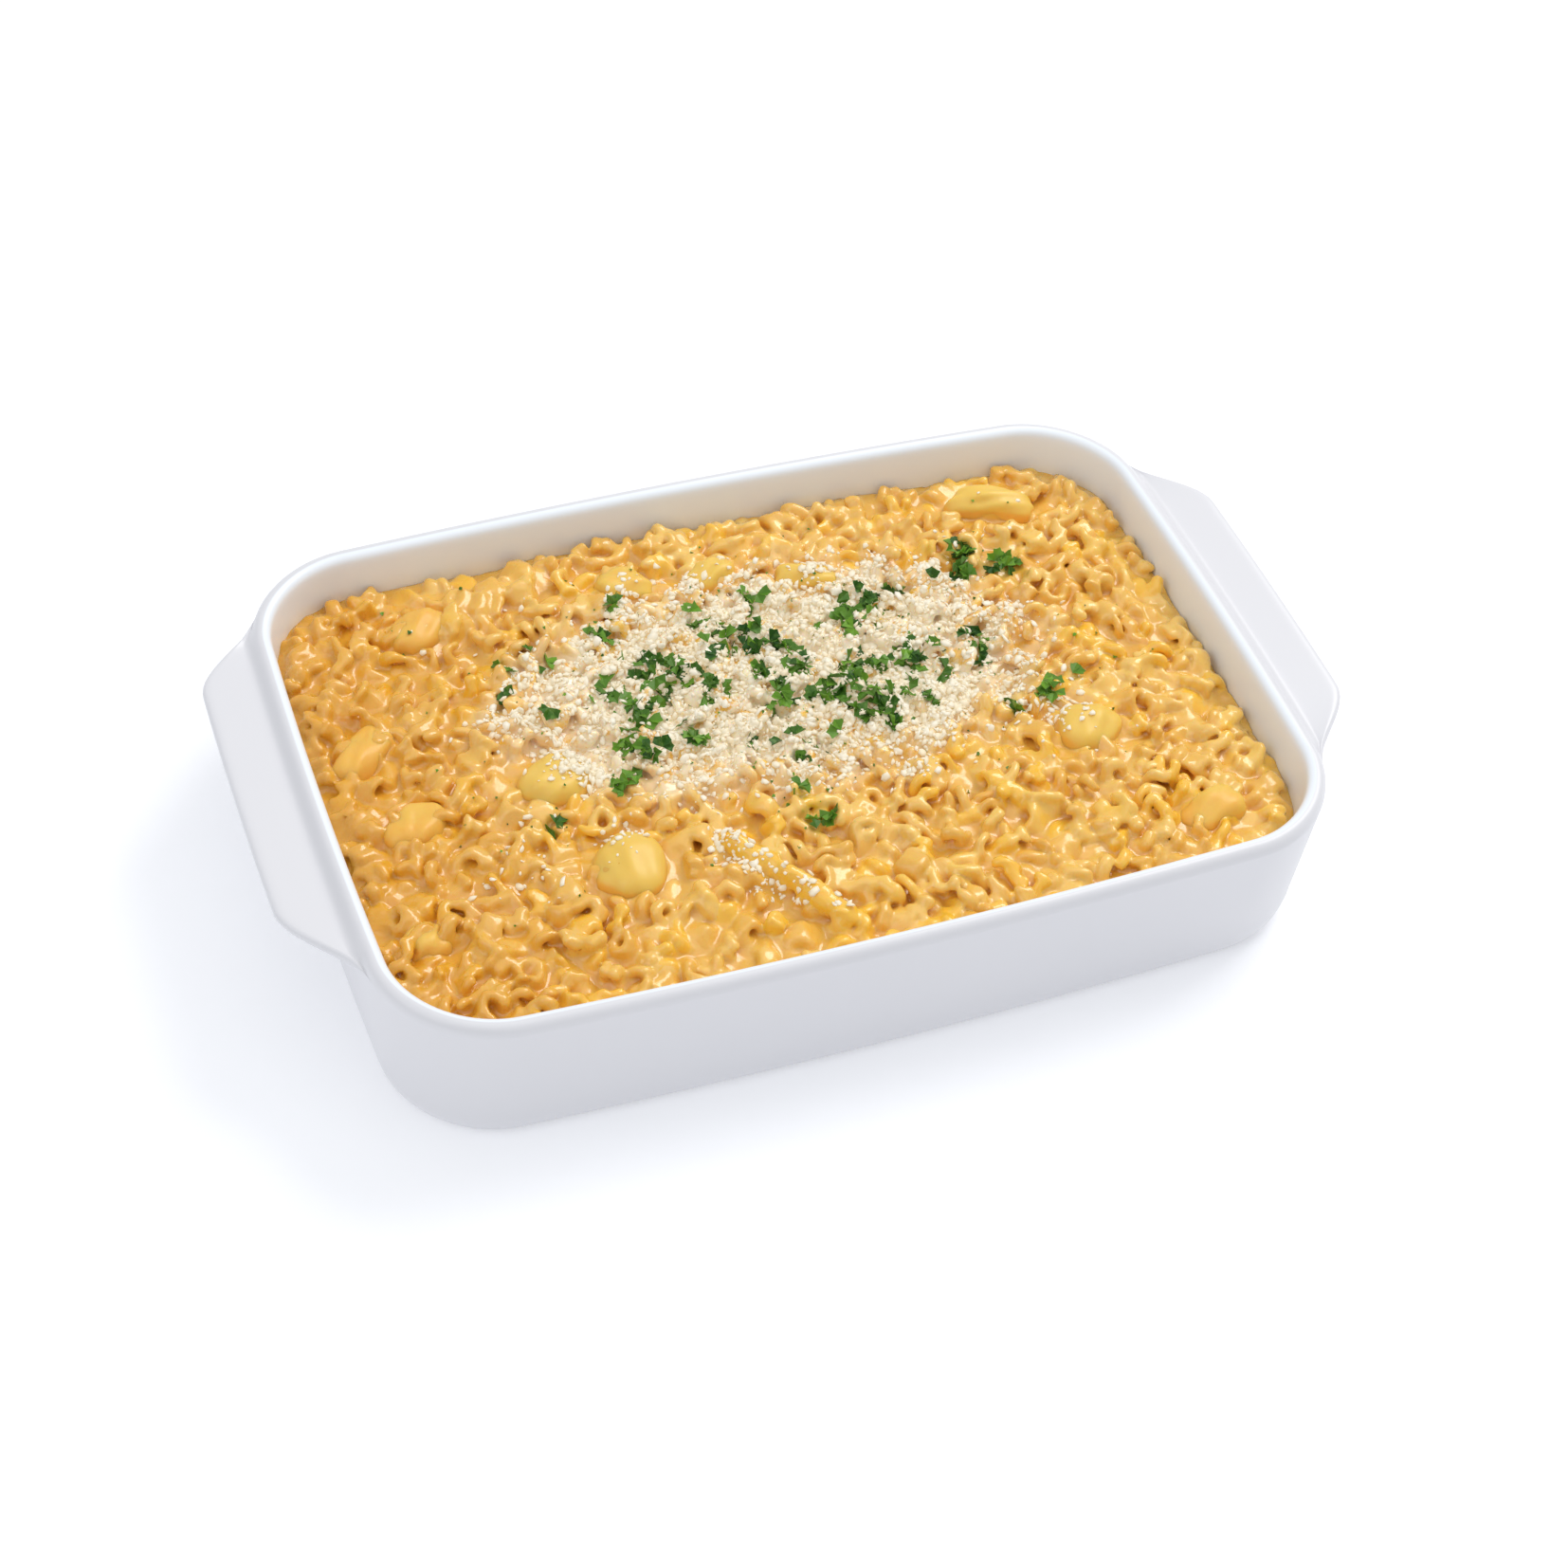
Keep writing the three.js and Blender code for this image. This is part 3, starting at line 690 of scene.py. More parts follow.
def clearOfWall(points, pad):  # how far a piece moves so that it bends round the wall
    outside = wallDistance(*points.T)
    worst = points[outside.argmax()]
    excess = outside.max() + pad
    if excess <= 0:
        return np.zeros(3)
    slope = [wallDistance(*(worst + step)) - outside.max() for step in ((0.5, 0, 0), (0, 0.5, 0))]
    return -excess * np.array([*slope, 0]) / np.hypot(*slope)


def blockPoints(axes, bend, block):  # the block's points, bent a little so that no piece is regular
    grid = np.meshgrid(*(axis[part] for axis, part in zip(axes, block)), indexing="ij")
    return [line + offset[block] for line, offset in zip(grid, bend)]


# where a curl's middle comes, the block that it fills, and the block's points in the curl's own axes
def seatCurl(heap, ends, turn, half, place, rise, pad):
    middle = np.array([*place, rise - half - filling["coat"] - ends[:, 2].max()])
    middle += clearOfWall(ends + middle, half + filling["fromGlaze"])
    block = blockAround(heap[2], ends.min(0) + middle, ends.max(0) + middle, half + pad)
    if block is None:
        return middle, None, None, None
    query = blockPoints(heap[2], heap[3], block)
    own = [sum((q - m) * turn[i, k] for i, (q, m) in enumerate(zip(query, middle))) for k in range(3)]
    return middle, block, query, own


def stampOutline(heap, outline, width, turn, half, place, rise, shade, frill):
    outline = outline - (outline.max(0) + outline.min(0)) / 2
    ends = np.concatenate([np.c_[outline, np.full(len(outline), w)] for w in (-width, width)]) @ turn.T
    _, block, _, own = seatCurl(heap, ends, turn, half, place, rise, 3)
    if block is None:
        return
    u, v, w = own
    swing, lobes, phase = frill
    beads = swing * np.minimum(np.abs(w) / width, 1) * np.sin(lobes * np.arctan2(v, u) + phase)
    beyond = np.maximum(np.abs(w) - width + half, 0)
    join(heap, block, np.sqrt(distanceToPath((u, v), outline) + beyond ** 2) - half - beads, shade)


def stampWorm(heap, path, half, shade, rib=0, ribLength=1):
    path = path + clearOfWall(path, half + filling["fromGlaze"])
    block = blockAround(heap[2], path.min(0), path.max(0), half + 2.5)
    if block is None:
        return
    query = blockPoints(heap[2], heap[3], block)
    distance = np.sqrt(distanceToPath(query, path)) - half
    if rib:
        along = (path[-1] - path[0]) / np.linalg.norm(path[-1] - path[0])
        station = sum((q - p) * d for q, p, d in zip(query, path[0], along))
        distance = distance - rib * np.cos(station * 2 * math.pi / ribLength)
    join(heap, block, distance, shade)


def ribbonPaths(radius, sweep, width, rng):  # the even middle of a bent ribbon, and its two wavy edges
    length = radius * sweep
    angle = np.linspace(-sweep / 2, sweep / 2, max(int(length * 1.25), 9))
    wave = between(rng, *ribbonEdge["wave"])
    edges = []
    for side in (-1, 1):
        swing = ribbonEdge["swing"] * np.sin(angle * radius * 2 * math.pi / wave + rng.random() * anyTurn)
        edges.append(np.c_[(radius + swing) * np.cos(angle), (radius + swing) * np.sin(angle),
                           np.full(len(angle), side * width)])
    even = np.linspace(-sweep / 2, sweep / 2, 9)
    return radius * np.c_[np.cos(even), np.sin(even)], edges


def stampRibbon(heap, paths, width, turn, half, place, rise, shade):
    outline, edges = paths
    shift = np.array([*((outline.max(0) + outline.min(0)) / 2), 0])
    edges = [(edge - shift) @ turn.T for edge in edges]
    middle, block, query, own = seatCurl(heap, np.concatenate(edges), turn, half, place, rise, 2.5)
    if block is None:
        return
    distance = np.sqrt(np.minimum(*(distanceToPath(query, edge + middle) for edge in edges))) - half
    u, v, w = own
    beyond = np.maximum(np.abs(w) - width, 0)
    sheet = np.sqrt(distanceToPath((u, v), outline - shift[:2]) + beyond ** 2) - ribbonEdge["sheet"]
    join(heap, block, softMin(distance, sheet, ribbonEdge["web"]), shade)


def join(heap, block, distance, shade):
    curls, tint = heap[:2]
    distance = distance.astype(np.float32)
    tint[block] = np.where(distance < curls[block], shade, tint[block])
    curls[block] = softMin(curls[block], distance, filling["fuse"])


def stampLargeCurls(heap):
    rng = np.random.default_rng(filling["largeSeed"])
    for place, radius, sweep, width, lean, turn, rise in largeCurls.values():
        matrix = np.array(Euler((lean, 0, turn + sweep / 2)).to_matrix())
        stampRibbon(heap, ribbonPaths(radius, sweep, width, rng), width, matrix, filling["largeHalf"], place,
                    float(sauceHeight(*place)) + rise, filling["largeTint"])
    strip = ribbedStrip
    ends = [np.array([*strip[end], float(sauceHeight(*strip[end])) + strip["rise"] - strip["radius"] - 1])
            for end in ("from", "to")]
    middle = (ends[0] + ends[1]) / 2 + (0.8, 0.6, 0.5)
    path = np.array([ends[0], middle, ends[1]])
    stampWorm(heap, path, strip["radius"], 2, strip["rib"], strip["ribLength"])


def besidePotato(x, y):  # 1 against a potato that lies open, and 0 a little way off
    nearest = 9
    for node in ("potato_1", "potato_2", "potato_3", "potato_5"):
        (cx, cy), size, turn, _, _ = potatoChunks[node]
        u, v = turned(x - cx, y - cy, -turn)
        nearest = min(nearest, math.hypot(u / size[0] * 2, v / size[1] * 2))
    return 1 - smoothStep(1.1, 1.5, nearest)


def looseTurn(lean, sway, rng):
    return np.array(Euler((lean, between(rng, -sway, sway), rng.random() * anyTurn)).to_matrix())


def stampCurl(heap, place, rng):
    kinds = list(curlShares)
    kind = kinds[int(rng.choice(len(kinds), p=list(curlShares.values())))]
    shade, half = rng.random(), filling["thickness"] / 2 * between(rng, 0.8, 1.15)
    rise = min(float(sauceHeight(*place)) + between(rng, *filling["stand"]), filling["highest"])
    rise -= filling["besideChunk"] * besidePotato(*place)
    if kind == "corkscrew":
        turn = looseTurn(between(rng, 1.1, 2.0), 0.4, rng)
        path = corkscrewPath(rng) @ turn.T
        half *= curlForms[kind]["stout"]
        path = path + (*place, rise - half - filling["coat"] - path[:, 2].max())
        stampWorm(heap, path, half, shade)
        return
    lean = between(rng, 0.15, 0.8) if rng.random() < 0.4 else between(rng, 0.8, 1.5)
    turn = looseTurn(lean, 0.3, rng)
    if kind == "ribbon":
        form = curlForms[kind]
        radius, width = between(rng, *form["radius"]), between(rng, *form["width"])
        paths = ribbonPaths(radius, min(between(rng, *form["length"]) / radius, form["most"]), width, rng)
        half = between(rng, *ribbonEdge["half"])
        stampRibbon(heap, paths, width, turn, half, place, rise, shade)
        return
    width = between(rng, *curlForms["width"])
    swing = filling["frill"] * between(rng, 0.4, 1.3)
    frill = (swing, int(rng.integers(*curlForms["lobes"])), rng.random() * anyTurn)
    stampOutline(heap, curlOutline(kind, rng), width, turn, half, place, rise, shade, frill)


def ripples(x, y, z, size, seed):  # a smooth random field of about -1 to 1
    rng = np.random.default_rng(seed)
    total = 0
    for _ in range(7):
        d = rng.normal(0, 1, 3)
        d = d / np.linalg.norm(d) * 2 * math.pi / (size * between(rng, 0.7, 1.4))
        total = total + np.sin(d[0] * x + d[1] * y + d[2] * z + rng.random() * anyTurn)
    return (total / 3).astype(np.float32)


def boxBlur(values, radius, passes=2):  # running means along the three axes
    for _ in range(passes):
        for axis in range(3):
            pad = [(radius + 1, radius) if i == axis else (0, 0) for i in range(3)]
            total = np.cumsum(np.pad(values, pad, mode="edge"), axis=axis, dtype=np.float64)
            size = 2 * radius + 1
            high = np.take(total, np.arange(size, total.shape[axis]), axis=axis)
            low = np.take(total, np.arange(0, total.shape[axis] - size), axis=axis)
            values = ((high - low) / size).astype(np.float32)
    return values


def makeFilling():
    rng = np.random.default_rng(filling["seed"])
    axes = fieldGrid()
    x, y, z = np.meshgrid(*axes, indexing="ij", sparse=True)
    shape = tuple(len(axis) for axis in axes)
    curls = np.full(shape, 30, np.float32)
    tint = np.full(shape, 0.5, np.float32)
    bend = [filling["wander"] * ripples(x, y, z, 10, seed) for seed in (31, 32, 33)]
    heap = (curls, tint, axes, bend)
    places = curlPlaces(rng)
    for place in places:
        stampCurl(heap, place, rng)
    stampLargeCurls(heap)
    print("  curls stamped:", len(places))
    pools = sum(ripples(x, y, deep * z, size, seed) * swell for size, swell, deep, seed in filling["pools"])
    sauce = z - sauceHeight(x, y).astype(np.float32) - pools + filling["sauceDrop"]
    walls = wallDistance(x, y, z).astype(np.float32)
    sauce = sauce - filling["creep"] * np.exp(np.minimum(walls, 0) / 1.5)
    chunks = np.full(shape, 30, np.float32)
    for node, chunk in potatoChunks.items():
        block = blockAround(axes, chunkCentre(chunk), chunkCentre(chunk), max(chunk[1]) * 0.6 + 4)
        near = np.meshgrid(*(axis[part] for axis, part in zip(axes, block)), indexing="ij", sparse=True)
        chunks[block] = np.minimum(chunks[block], chunkField(node, chunk, *near).astype(np.float32))
    curls = np.minimum(np.maximum(curls, -chunks - filling["fromChunk"]), 6)
    coated = boxBlur(curls, 1, 1) - filling["coat"] - 0.1 * ripples(x, y, z, 4.2, 12)
    field = softMin(coated, sauce, filling["blend"])
    gathered = boxBlur(np.clip(field, -3, 3), 4) + filling["sauceInPits"]
    field = softMin(field, gathered, 1.5)
    inside, width = filling["collar"]
    field = softMin(field, chunks + inside, width)
    field = np.maximum(field, walls + filling["skinFromGlaze"])
    field = np.maximum(field, filling["bottom"] - z)
    # how much solid lies round each point, used below for painted shade in the pits
    crowded = boxBlur((field < 0).astype(np.float32), 3)
    grid = openvdb.FloatGrid(5.0)
    grid.copyFromArray(np.clip(field, -4, 4).astype(np.float32))
    points, triangles, quads = grid.convertToPolygons(0.0, 0.0)
    pick = tuple(np.clip(np.rint(points), 0, np.array(shape) - 1).astype(int).T)
    world = points * filling["voxel"] + [axis[0] for axis in axes]
    attributes = {
        "pasta": smoothStep(-1.2, 1.4, (sauce - coated)[pick]),
        "tint": tint[pick],
        # painted shade: crowded pits get a darker orange-brown colour
        "pitShade": smoothStep(0.56, 0.86, crowded[pick]),
        "dust": cheeseThickness(world[:, 0], world[:, 1]),
        "amber": 1 - smoothStep(-140, -50, world[:, 0]),
    }
    return world, quads.tolist() + triangles.tolist(), attributes


points, faces, attributes = makeFilling()
print("filling field done:", len(points), "points,", len(faces), "faces")


def closeFilling(points, faces, attributes):  # the flat bottom goes, and a plain core fills the dish
    points = np.asarray(points)
    base = filling["bottom"] + 0.3
    isBase = points[:, 2] < base
    kept = [face for face in faces if not all(isBase[i] for i in face)]
    used = np.zeros(len(points), bool)
    for face in kept:
        used[face] = True
    renumber = np.cumsum(used) - 1
    kept = [[int(renumber[i]) for i in face] for face in kept]
    points = points[used]
    attributes = {label: np.asarray(values)[used] for label, values in attributes.items()}
    edges = {}
    for face in kept:
        for a, b in zip(face, face[1:] + face[:1]):
            edges[(a, b)] = True
    following = {a: b for a, b in edges if (b, a) not in edges}
    start = next(iter(following))
    loop = [start]
    while following[loop[-1]] != start:
        loop.append(following[loop[-1]])
    print("  open edge:", len(loop), "of", len(following))
    edge = points[loop]
    halfX, halfY = dish["length"] / 2 - dish["wall"], dish["width"] / 2 - dish["wall"]
    rings = [edge * (1 - inset / halfX, 1 - inset / halfY, 0) + (0, 0, z) for z, inset in filling["core"]]
    count, first = len(loop), len(points)
    upper = np.array(loop)
    for k in range(len(rings)):
        lower = first + k * count + np.arange(count)
        kept += np.stack([np.roll(upper, -1), upper, lower, np.roll(lower, -1)], axis=-1).tolist()
        upper = lower
    points = np.concatenate([points, *rings, [[0, 0, filling["core"][-1][0]]]])
    last = first + (len(rings) - 1) * count
    kept += [[last + (j + 1) % count, last + j, len(points) - 1] for j in range(count)]
    extra = len(points) - first
    for label, values in attributes.items():
        attributes[label] = np.concatenate([values, np.full(extra, values[loop].mean())])
    return points, kept, attributes


def saucedPasta():
    finish = Finish("sauced pasta").set(Roughness=0.3, IOR=1.45, Coat_Weight=0.8, Coat_Roughness=0.12)
    finish.set(Subsurface_Weight=0.35, Subsurface_Radius=(1.0, 0.5, 0.15), Subsurface_Scale=0.0014)
    curl = finish.mix(finish.attribute("tint"), (0.83, 0.455, 0.06), (0.93, 0.63, 0.165))
    curl = finish.mix(finish.spread(finish.attribute("tint"), 0.72, 0.86), curl, (0.93, 0.54, 0.05))
    sauce = finish.mix(finish.noise(45, 3), (0.78, 0.435, 0.055), (0.84, 0.5, 0.09))
    skin = finish.mix(finish.spread(finish.attribute("pasta"), 0.1, 0.95), sauce, curl)
    # painted shade: the pits are painted a darker orange-brown
    skin = finish.mix(finish.attribute("pitShade"), skin, (0.68, 0.285, 0.025))
    skin = finish.mix(finish.maths("MULTIPLY", finish.attribute("amber"), 0.72), skin, (0.76, 0.36, 0.02))
    drift = finish.spread(finish.noise(90, 3), 0.3, 0.7, -0.2, 0.2)
    speckle = finish.maths("ADD", finish.noise(420, 4, 0.7), drift)
    dust = finish.maths("MULTIPLY", finish.attribute("dust"), finish.spread(speckle, 0.26, 0.5, 0, 0.92))
    finish.colour(finish.mix(dust, skin, (0.95, 0.83, 0.62)))
    finish.rough(finish.spread(finish.noise(170, 3), 0.35, 0.7, 0.2, 0.36))
    finish.bump(finish.noise(260, 3, distortion=0.4), 0.3, 0.4)
    finish.bump(finish.noise(1100, 2), 0.05, 0.3)
    return finish.material


def simplify(piece, triangles):  # fewer faces where the skin is flat
    piece.data.calc_loop_triangles()
    count = len(piece.data.loop_triangles)
    if count <= triangles:
        return
    fewer = piece.modifiers.new("fewer", "DECIMATE")
    fewer.ratio = triangles / count
    fewer.use_collapse_triangulate = True
    result = piece.evaluated_get(bpy.context.evaluated_depsgraph_get())
    mesh = bpy.data.meshes.new_from_object(result)
    piece.modifiers.clear()
    piece.data = mesh


points, faces, attributes = closeFilling(points, faces, attributes)
saucePiece = meshPiece("saucedPasta", points, faces, saucedPasta(), attributes)
simplify(saucePiece, filling["triangles"])
standFor(saucePiece, "pasta_heap")
saucePiece.data.calc_loop_triangles()
print("filling made,", len(saucePiece.data.loop_triangles), "triangles")


def potatoFlesh():
    finish = Finish("boiled potato").set(Roughness=0.4, Coat_Weight=0.15, Coat_Roughness=0.2, IOR=1.4)
    finish.set(Subsurface_Weight=0.5, Subsurface_Radius=(1.0, 0.7, 0.25), Subsurface_Scale=0.003)
    covered = finish.attribute("covered")
    flesh = finish.mix(finish.noise(90, 3), (0.83, 0.53, 0.08), (0.86, 0.6, 0.14))
    sauce = finish.mix(finish.noise(60, 2), (0.84, 0.44, 0.065), (0.88, 0.51, 0.1))
    patch = finish.maths("ADD", covered, finish.spread(finish.noise(120, 3), 0.3, 0.7, -0.25, 0.25))
    finish.colour(finish.mix(finish.spread(patch, 0.1, 1.0), flesh, sauce))
    finish.bump(finish.noise(200, 2), 0.2, 0.4)
    finish.bump(finish.noise(1400, 2), 0.04, 0.3)
    return finish.material


potatoFinish = {
    "rows": 46,
    "columns": 72,
    "lumps": 1.5,
    "covered": {"potato_4": 0.5, "potato_6": 0.7, "potato_8": 0.75, "potato_12": 0.9, "potato_7": 0.8,
                "potato_9": 0.3, "potato_10": 0.25, "potato_11": 0.25},
}


def makePotatoes():
    material = potatoFlesh()
    pieces = []
    rows, columns = potatoFinish["rows"], potatoFinish["columns"]
    for number, (node, chunk) in enumerate(potatoChunks.items()):
        _, size, turn, _, _ = chunk
        polar = np.linspace(0, math.pi, rows)[1:-1]
        around = np.linspace(0, 2 * math.pi, columns, endpoint=False)
        p, a = np.meshgrid(polar, around, indexing="ij")
        unit = np.stack([np.sin(p) * np.cos(a), np.sin(p) * np.sin(a), np.cos(p)], axis=-1).reshape(-1, 3)
        unit = np.concatenate([unit, [[0, 0, 1], [0, 0, -1]]])
        norm = chunkNorm(*unit.T, chunkCuts(node, chunk))
        body = unit / norm[:, None] * np.array(size) / 2
        wave = np.sin(unit @ (2.1, 1.3, 0.7) * 2 + number)
        wave = wave + 0.6 * np.sin(unit @ (-1.2, 2.4, 1.1) * 3 + 2 * number)
        dents = 0.5 * np.sin(unit @ (3.1, -2.2, 2.6) * 1.9 + 3 * number)
        wave += dents * np.sin(unit @ (-2, 3, 2.2) * 1.7 + number)
        body -= unit * (0.5 + 0.5 * wave)[:, None] * potatoFinish["lumps"] * 0.5
        body = np.c_[(*turned(body[:, 0], body[:, 1], turn), body[:, 2])] + chunkCentre(chunk)
        faces = [face[::-1] for face in ringFaces(rows - 2, columns)]
        top = (rows - 2) * columns
        faces += [[j, (j + 1) % columns, top] for j in range(columns)]
        last = (rows - 3) * columns
        faces += [[last + (j + 1) % columns, last + j, top + 1] for j in range(columns)]
        above = body[:, 2] - sauceHeight(body[:, 0], body[:, 1])
        covered = potatoFinish["covered"].get(node, 0) + 1 - smoothStep(0.4, 2.6, above)
        piece = meshPiece(node + "_chunk", body, faces, material, {"covered": covered})
        standFor(piece, node)
        pieces.append(piece)
    return pieces


potatoPieces = makePotatoes()
print("potatoes made:", len(potatoPieces))


# what falls on the dish lies on this

def landing(pieces):
    trees = []
    for piece in pieces:
        mesh = piece.data
        corners = [vertex.co[:] for vertex in mesh.vertices]
        trees.append(BVHTree.FromPolygons(corners, [polygon.vertices[:] for polygon in mesh.polygons]))

    def hit(x, y):
        best = None
        for tree in trees:
            place, normal, _, _ = tree.ray_cast(Vector((x * mm, y * mm, 0.2)), Vector((0, 0, -1)))
            if place is not None and (best is None or place.z > best[0].z):
                best = (place, normal if normal.z > 0 else -normal)
        return best
    return hit


surfaceAt = landing([saucePiece, *potatoPieces])


def lieOn(normal, tilt, rng):  # the turn of a crumb or a leaf that has fallen on this slope
    own = Euler((*rng.normal(0, tilt, 2), rng.random() * anyTurn)).to_matrix()
    return np.array(Vector((0, 0, 1)).rotation_difference(normal).to_matrix() @ own).T


# grated cheese: crumbs thrown thick over the middle and thin towards the edge of the zone

def icosahedron():
    g = (1 + math.sqrt(5)) / 2
    corners = np.array([(-1, g, 0), (1, g, 0), (-1, -g, 0), (1, -g, 0), (0, -1, g), (0, 1, g),
                        (0, -1, -g), (0, 1, -g), (g, 0, -1), (g, 0, 1), (-g, 0, -1), (-g, 0, 1)])
    faces = np.array([(0, 11, 5), (0, 5, 1), (0, 1, 7), (0, 7, 10), (0, 10, 11), (1, 5, 9), (5, 11, 4),
                      (11, 10, 2), (10, 7, 6), (7, 1, 8), (3, 9, 4), (3, 4, 2), (3, 2, 6), (3, 6, 8),
                      (3, 8, 9), (4, 9, 5), (2, 4, 11), (6, 2, 10), (8, 6, 7), (9, 8, 1)])
    return corners / np.linalg.norm(corners[0]), faces


def gratedCheese():
    finish = Finish("grated cheese").set(Roughness=0.5, IOR=1.42)
    # painted light: the flakes glow a little, lifting their shade in place of light shining through them
    finish.set(Emission_Color=(0.9, 0.76, 0.52, 1), Emission_Strength=0.24)
    finish.set(Subsurface_Weight=0.2, Subsurface_Radius=(1.0, 0.85, 0.7), Subsurface_Scale=0.0004)
    shade = finish.attribute("shade")
    finish.colour(finish.mix(shade, (0.74, 0.66, 0.49), (0.77, 0.735, 0.64)))
    finish.bump(finish.noise(900, 3), 0.15, 0.5)
    return finish.material


def makeCheese():
    rng = np.random.default_rng(cheese["seed"])
    corners, faces = icosahedron()
    clumps = []
    while len(clumps) < cheese["clumps"]:
        place = overZone(rng, (-1, 1), (-1, 1))
        if rng.random() < cheeseThickness(*place):
            clumps.append(place)
    points, triangles, shades = [], [], []
    made = 0
    drifts = [(place, spread) for place, spread, count in cheese["drifts"] for _ in range(count)]
    while made < cheese["crumbs"]:
        if made < len(drifts):
            place, spread = drifts[made]
            x, y = place + rng.normal(0, spread, 2)
        elif rng.random() < cheese["clumped"]:
            x, y = clumps[int(rng.integers(len(clumps)))] + rng.normal(0, cheese["clumpRadius"] / 2, 2)
        else:
            x, y = overZone(rng, (-1.1, 1.1), (-1.1, 1.1))
            if rng.random() > 0.02 + cheeseThickness(x, y):
                continue
        if wallDistance(x, y, 42) > -cheese["clearWall"]:
            x, y = cheese["middle"]
        place, normal = surfaceAt(x, y)
        small, large = cheese["size"]
        radius = small + (large - small) * rng.random() ** 2
        shape = corners * rng.uniform(*cheese["ragged"], (len(corners), 1)) * radius
        shape = shape * [between(rng, *span) for span in cheese["flat"]]
        shape = shape @ lieOn(normal, cheese["tilt"], rng)
        lift = radius * between(rng, 0, 0.5)
        lift += cheese["stacked"] * cheeseThickness(x, y) * rng.random() ** 2
        triangles.append(faces + len(corners) * made)
        points.append(shape + np.array(place) / mm + np.array(normal) * lift)
        shades.append(np.full(len(corners), rng.random()))
        made += 1
    faceList = np.concatenate(triangles).tolist()
    piece = meshPiece("gratedCheese", np.concatenate(points), faceList, gratedCheese(),
                      {"shade": np.concatenate(shades)})
    standFor(piece, "pasta_heap")


makeCheese()
print("cheese grated:", cheese["crumbs"], "crumbs")


# chopped parsley: tufts where the photograph shows them, and small flecks over the rest

parsley = {
    "tufts": {  # middle of each tuft and its number of leaves
        (-82, -20): 2, (-80, 33): 2, (-75, 44): 2, (-69, 18): 2, (-66, 47): 3, (-57, -13): 9, (-54, 22): 1,
        (-51, 4): 4, (-47, 23): 6, (-46, -3): 8, (-41, 13): 11, (-44, 49): 6, (-39, 32): 5, (-32, 25): 12,
        (-35, 56): 4, (-33, 33): 5, (-29, -2): 5, (-28, 4): 5, (-25, 29): 7, (-22, 23): 8, (-19, 14): 6,
        (-15, -10): 2, (-12, 27): 2, (-12, 46): 5, (-8, 41): 4, (-4, -44): 6, (-4, -28): 3, (-2, 35): 13,
        (1, -13): 9, (-2, 3): 5, (0, 17): 7, (1, 9): 5, (1, 27): 6, (6, 13): 6, (6, 32): 6, (7, 51): 6,
        (8, 26): 6, (10, 6): 5, (11, 17): 8, (13, -13): 3, (16, 7): 7, (21, -1): 7, (22, 6): 7,
        (26, 12): 12, (24, 29): 1, (25, -8): 7, (28, 1): 6, (32, -11): 8, (33, -3): 8, (33, 34): 4,
        (34, 11): 8, (34, 27): 3, (36, 41): 7, (37, 19): 1, (41, 1): 5, (41, 31): 2, (43, 41): 7,
        (44, -6): 4, (47, 11): 10, (49, 16): 5, (51, 43): 2, (55, 2): 2, (57, 47): 2, (65, 44): 1,
        (69, 9): 4, (70, 16): 6, (72, -18): 2, (80, 44): 8, (81, 53): 8, (82, -9): 4, (85, -15): 3,
        (92, 45): 9, (96, -6): 1,
    },
    "spread": 2.3,
    "size": (2.9, 5.0),
    "flecks": 900,
    "fleckSize": (0.5, 1.6),
    "thickness": 0.18,
    "lift": (0.6, 2.2),
    "fleckLift": 0.5,
    "tilt": 0.4,
    "clearWall": 9,
    "seed": 33,
}


def leafletShape(rng, size, turn):  # a pointed leaflet folded along its rib: top face, then bottom face
    share = np.array([0, 0.3, 0.6, 0.72, 1])
    width = np.array([0.14, 0.75, 1.05, 0.45, 0.02]) * rng.uniform(0.85, 1.15, 5)
    across = np.array([-1, 0, 1])
    x = size * (share[:, None] + 0.12 * np.abs(across) * (share[:, None] < 0.9))
    y = size * 0.42 * width[:, None] * across
    bend, fold = between(rng, -0.5, 0.35), between(rng, 0.25, 0.9)
    z = fold * np.abs(y) + bend * share[:, None] ** 2 * size * 0.5 + 0 * x
    top = np.stack([*turned(x, y, turn), z], axis=-1).reshape(-1, 3)
    rows, columns = len(share), len(across)
    points = np.concatenate([top, top - (0, 0, parsley["thickness"])])
    under = len(top)
    faces = []
    for i in range(rows - 1):
        for j in range(columns - 1):
            a, b = i * columns + j, (i + 1) * columns + j
            for face in ([a, b, b + 1], [a, b + 1, a + 1]):
                faces += [face, [under + k for k in face[::-1]]]
    rim = [i * columns for i in range(rows)] + [(rows - 1) * columns + j for j in range(1, columns)]
    rim += [i * columns + columns - 1 for i in range(rows - 2, -1, -1)] + list(range(columns - 2, 0, -1))
    for a, b in zip(rim, rim[1:] + rim[:1]):
        faces.append([b, a, under + a, under + b])
    return points, faces


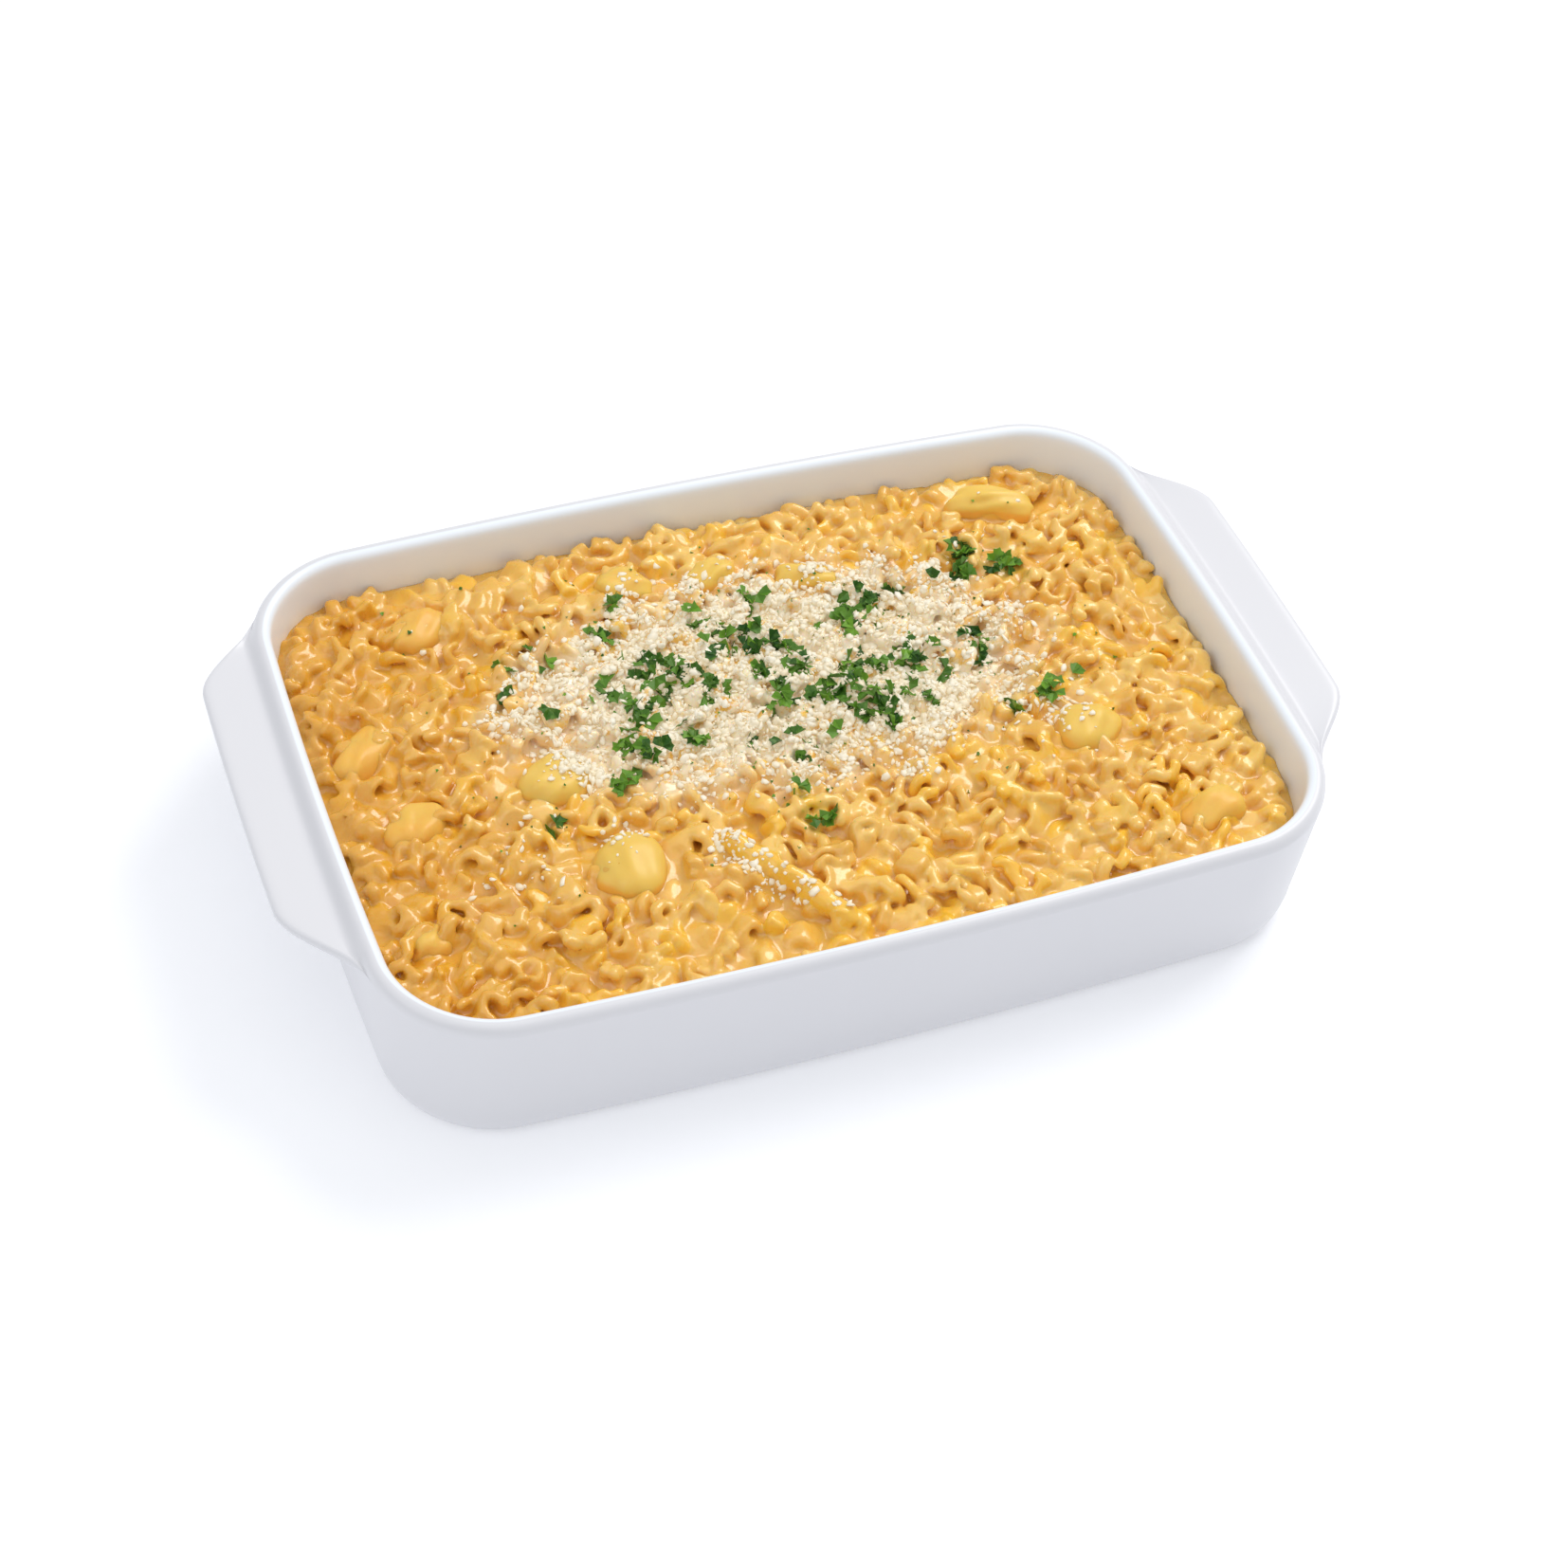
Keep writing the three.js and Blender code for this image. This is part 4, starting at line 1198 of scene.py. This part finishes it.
def leafShape(rng, size, leaflets):
    points, faces, offset = [], [], 0
    for k in range(leaflets):
        turn = (k - (leaflets - 1) / 2) * between(rng, 0.9, 1.3)
        shape, parts = leafletShape(rng, size * between(rng, 0.75, 1.1), turn)
        points.append(shape)
        faces += [[i + offset for i in part] for part in parts]
        offset += len(shape)
    return np.concatenate(points), faces


def parsleyGreen():
    finish = Finish("parsley").set(Roughness=0.42, IOR=1.45, Specular_IOR_Level=0.35)
    finish.set(Subsurface_Weight=0.15, Subsurface_Radius=(0.4, 1.0, 0.2), Subsurface_Scale=0.0006)
    shade = finish.attribute("shade")
    leaf = finish.mix(shade, (0.022, 0.09, 0.008), (0.18, 0.38, 0.03))
    finish.colour(finish.mix(finish.spread(finish.noise(500, 3), 0.45, 0.75), leaf, (0.13, 0.25, 0.04)))
    finish.bump(finish.noise(1500, 2), 0.12, 0.6)
    return finish.material


def makeParsley():
    rng = np.random.default_rng(parsley["seed"])
    points, faces, shades = [], [], []
    jobs = []
    for tuft, count in parsley["tufts"].items():
        for _ in range(count):
            x, y = tuft + rng.normal(0, parsley["spread"], 2)
            size, lift = between(rng, *parsley["size"]), between(rng, *parsley["lift"])
            jobs.append((x, y, size, lift, int(rng.integers(2, 4))))
    for _ in range(parsley["flecks"]):
        x, y = overZone(rng, (-1.25, 1.25), (-1.4, 1.2))
        keep = 0.12 + cheeseThickness(x, y)
        if wallDistance(x, y, 42) < -parsley["clearWall"] and rng.random() < keep:
            jobs.append((x, y, between(rng, *parsley["fleckSize"]), parsley["fleckLift"], 1))
    offset = 0
    for x, y, size, lift, leaflets in jobs:
        ground = surfaceAt(x, y)
        if ground is None:
            continue
        place, normal = ground
        shape, parts = leafShape(rng, size, leaflets)
        lean = Vector(normal).lerp(Vector((0, 0, 1)), 0.4)
        shape = shape @ lieOn(lean, parsley["tilt"], rng) + np.array(place) / mm + (0, 0, lift)
        points.append(shape)
        faces += [[i + offset for i in part] for part in parts]
        shades.append(np.full(len(shape), rng.random() ** 1.4))
        offset += len(shape)
    piece = meshPiece("choppedParsley", np.concatenate(points), faces, parsleyGreen(),
                      {"shade": np.concatenate(shades)})
    piece.data.shade_flat()
    standFor(piece, "pasta_heap")
    return len(jobs)


print("parsley chopped:", makeParsley(), "leaves and flecks")
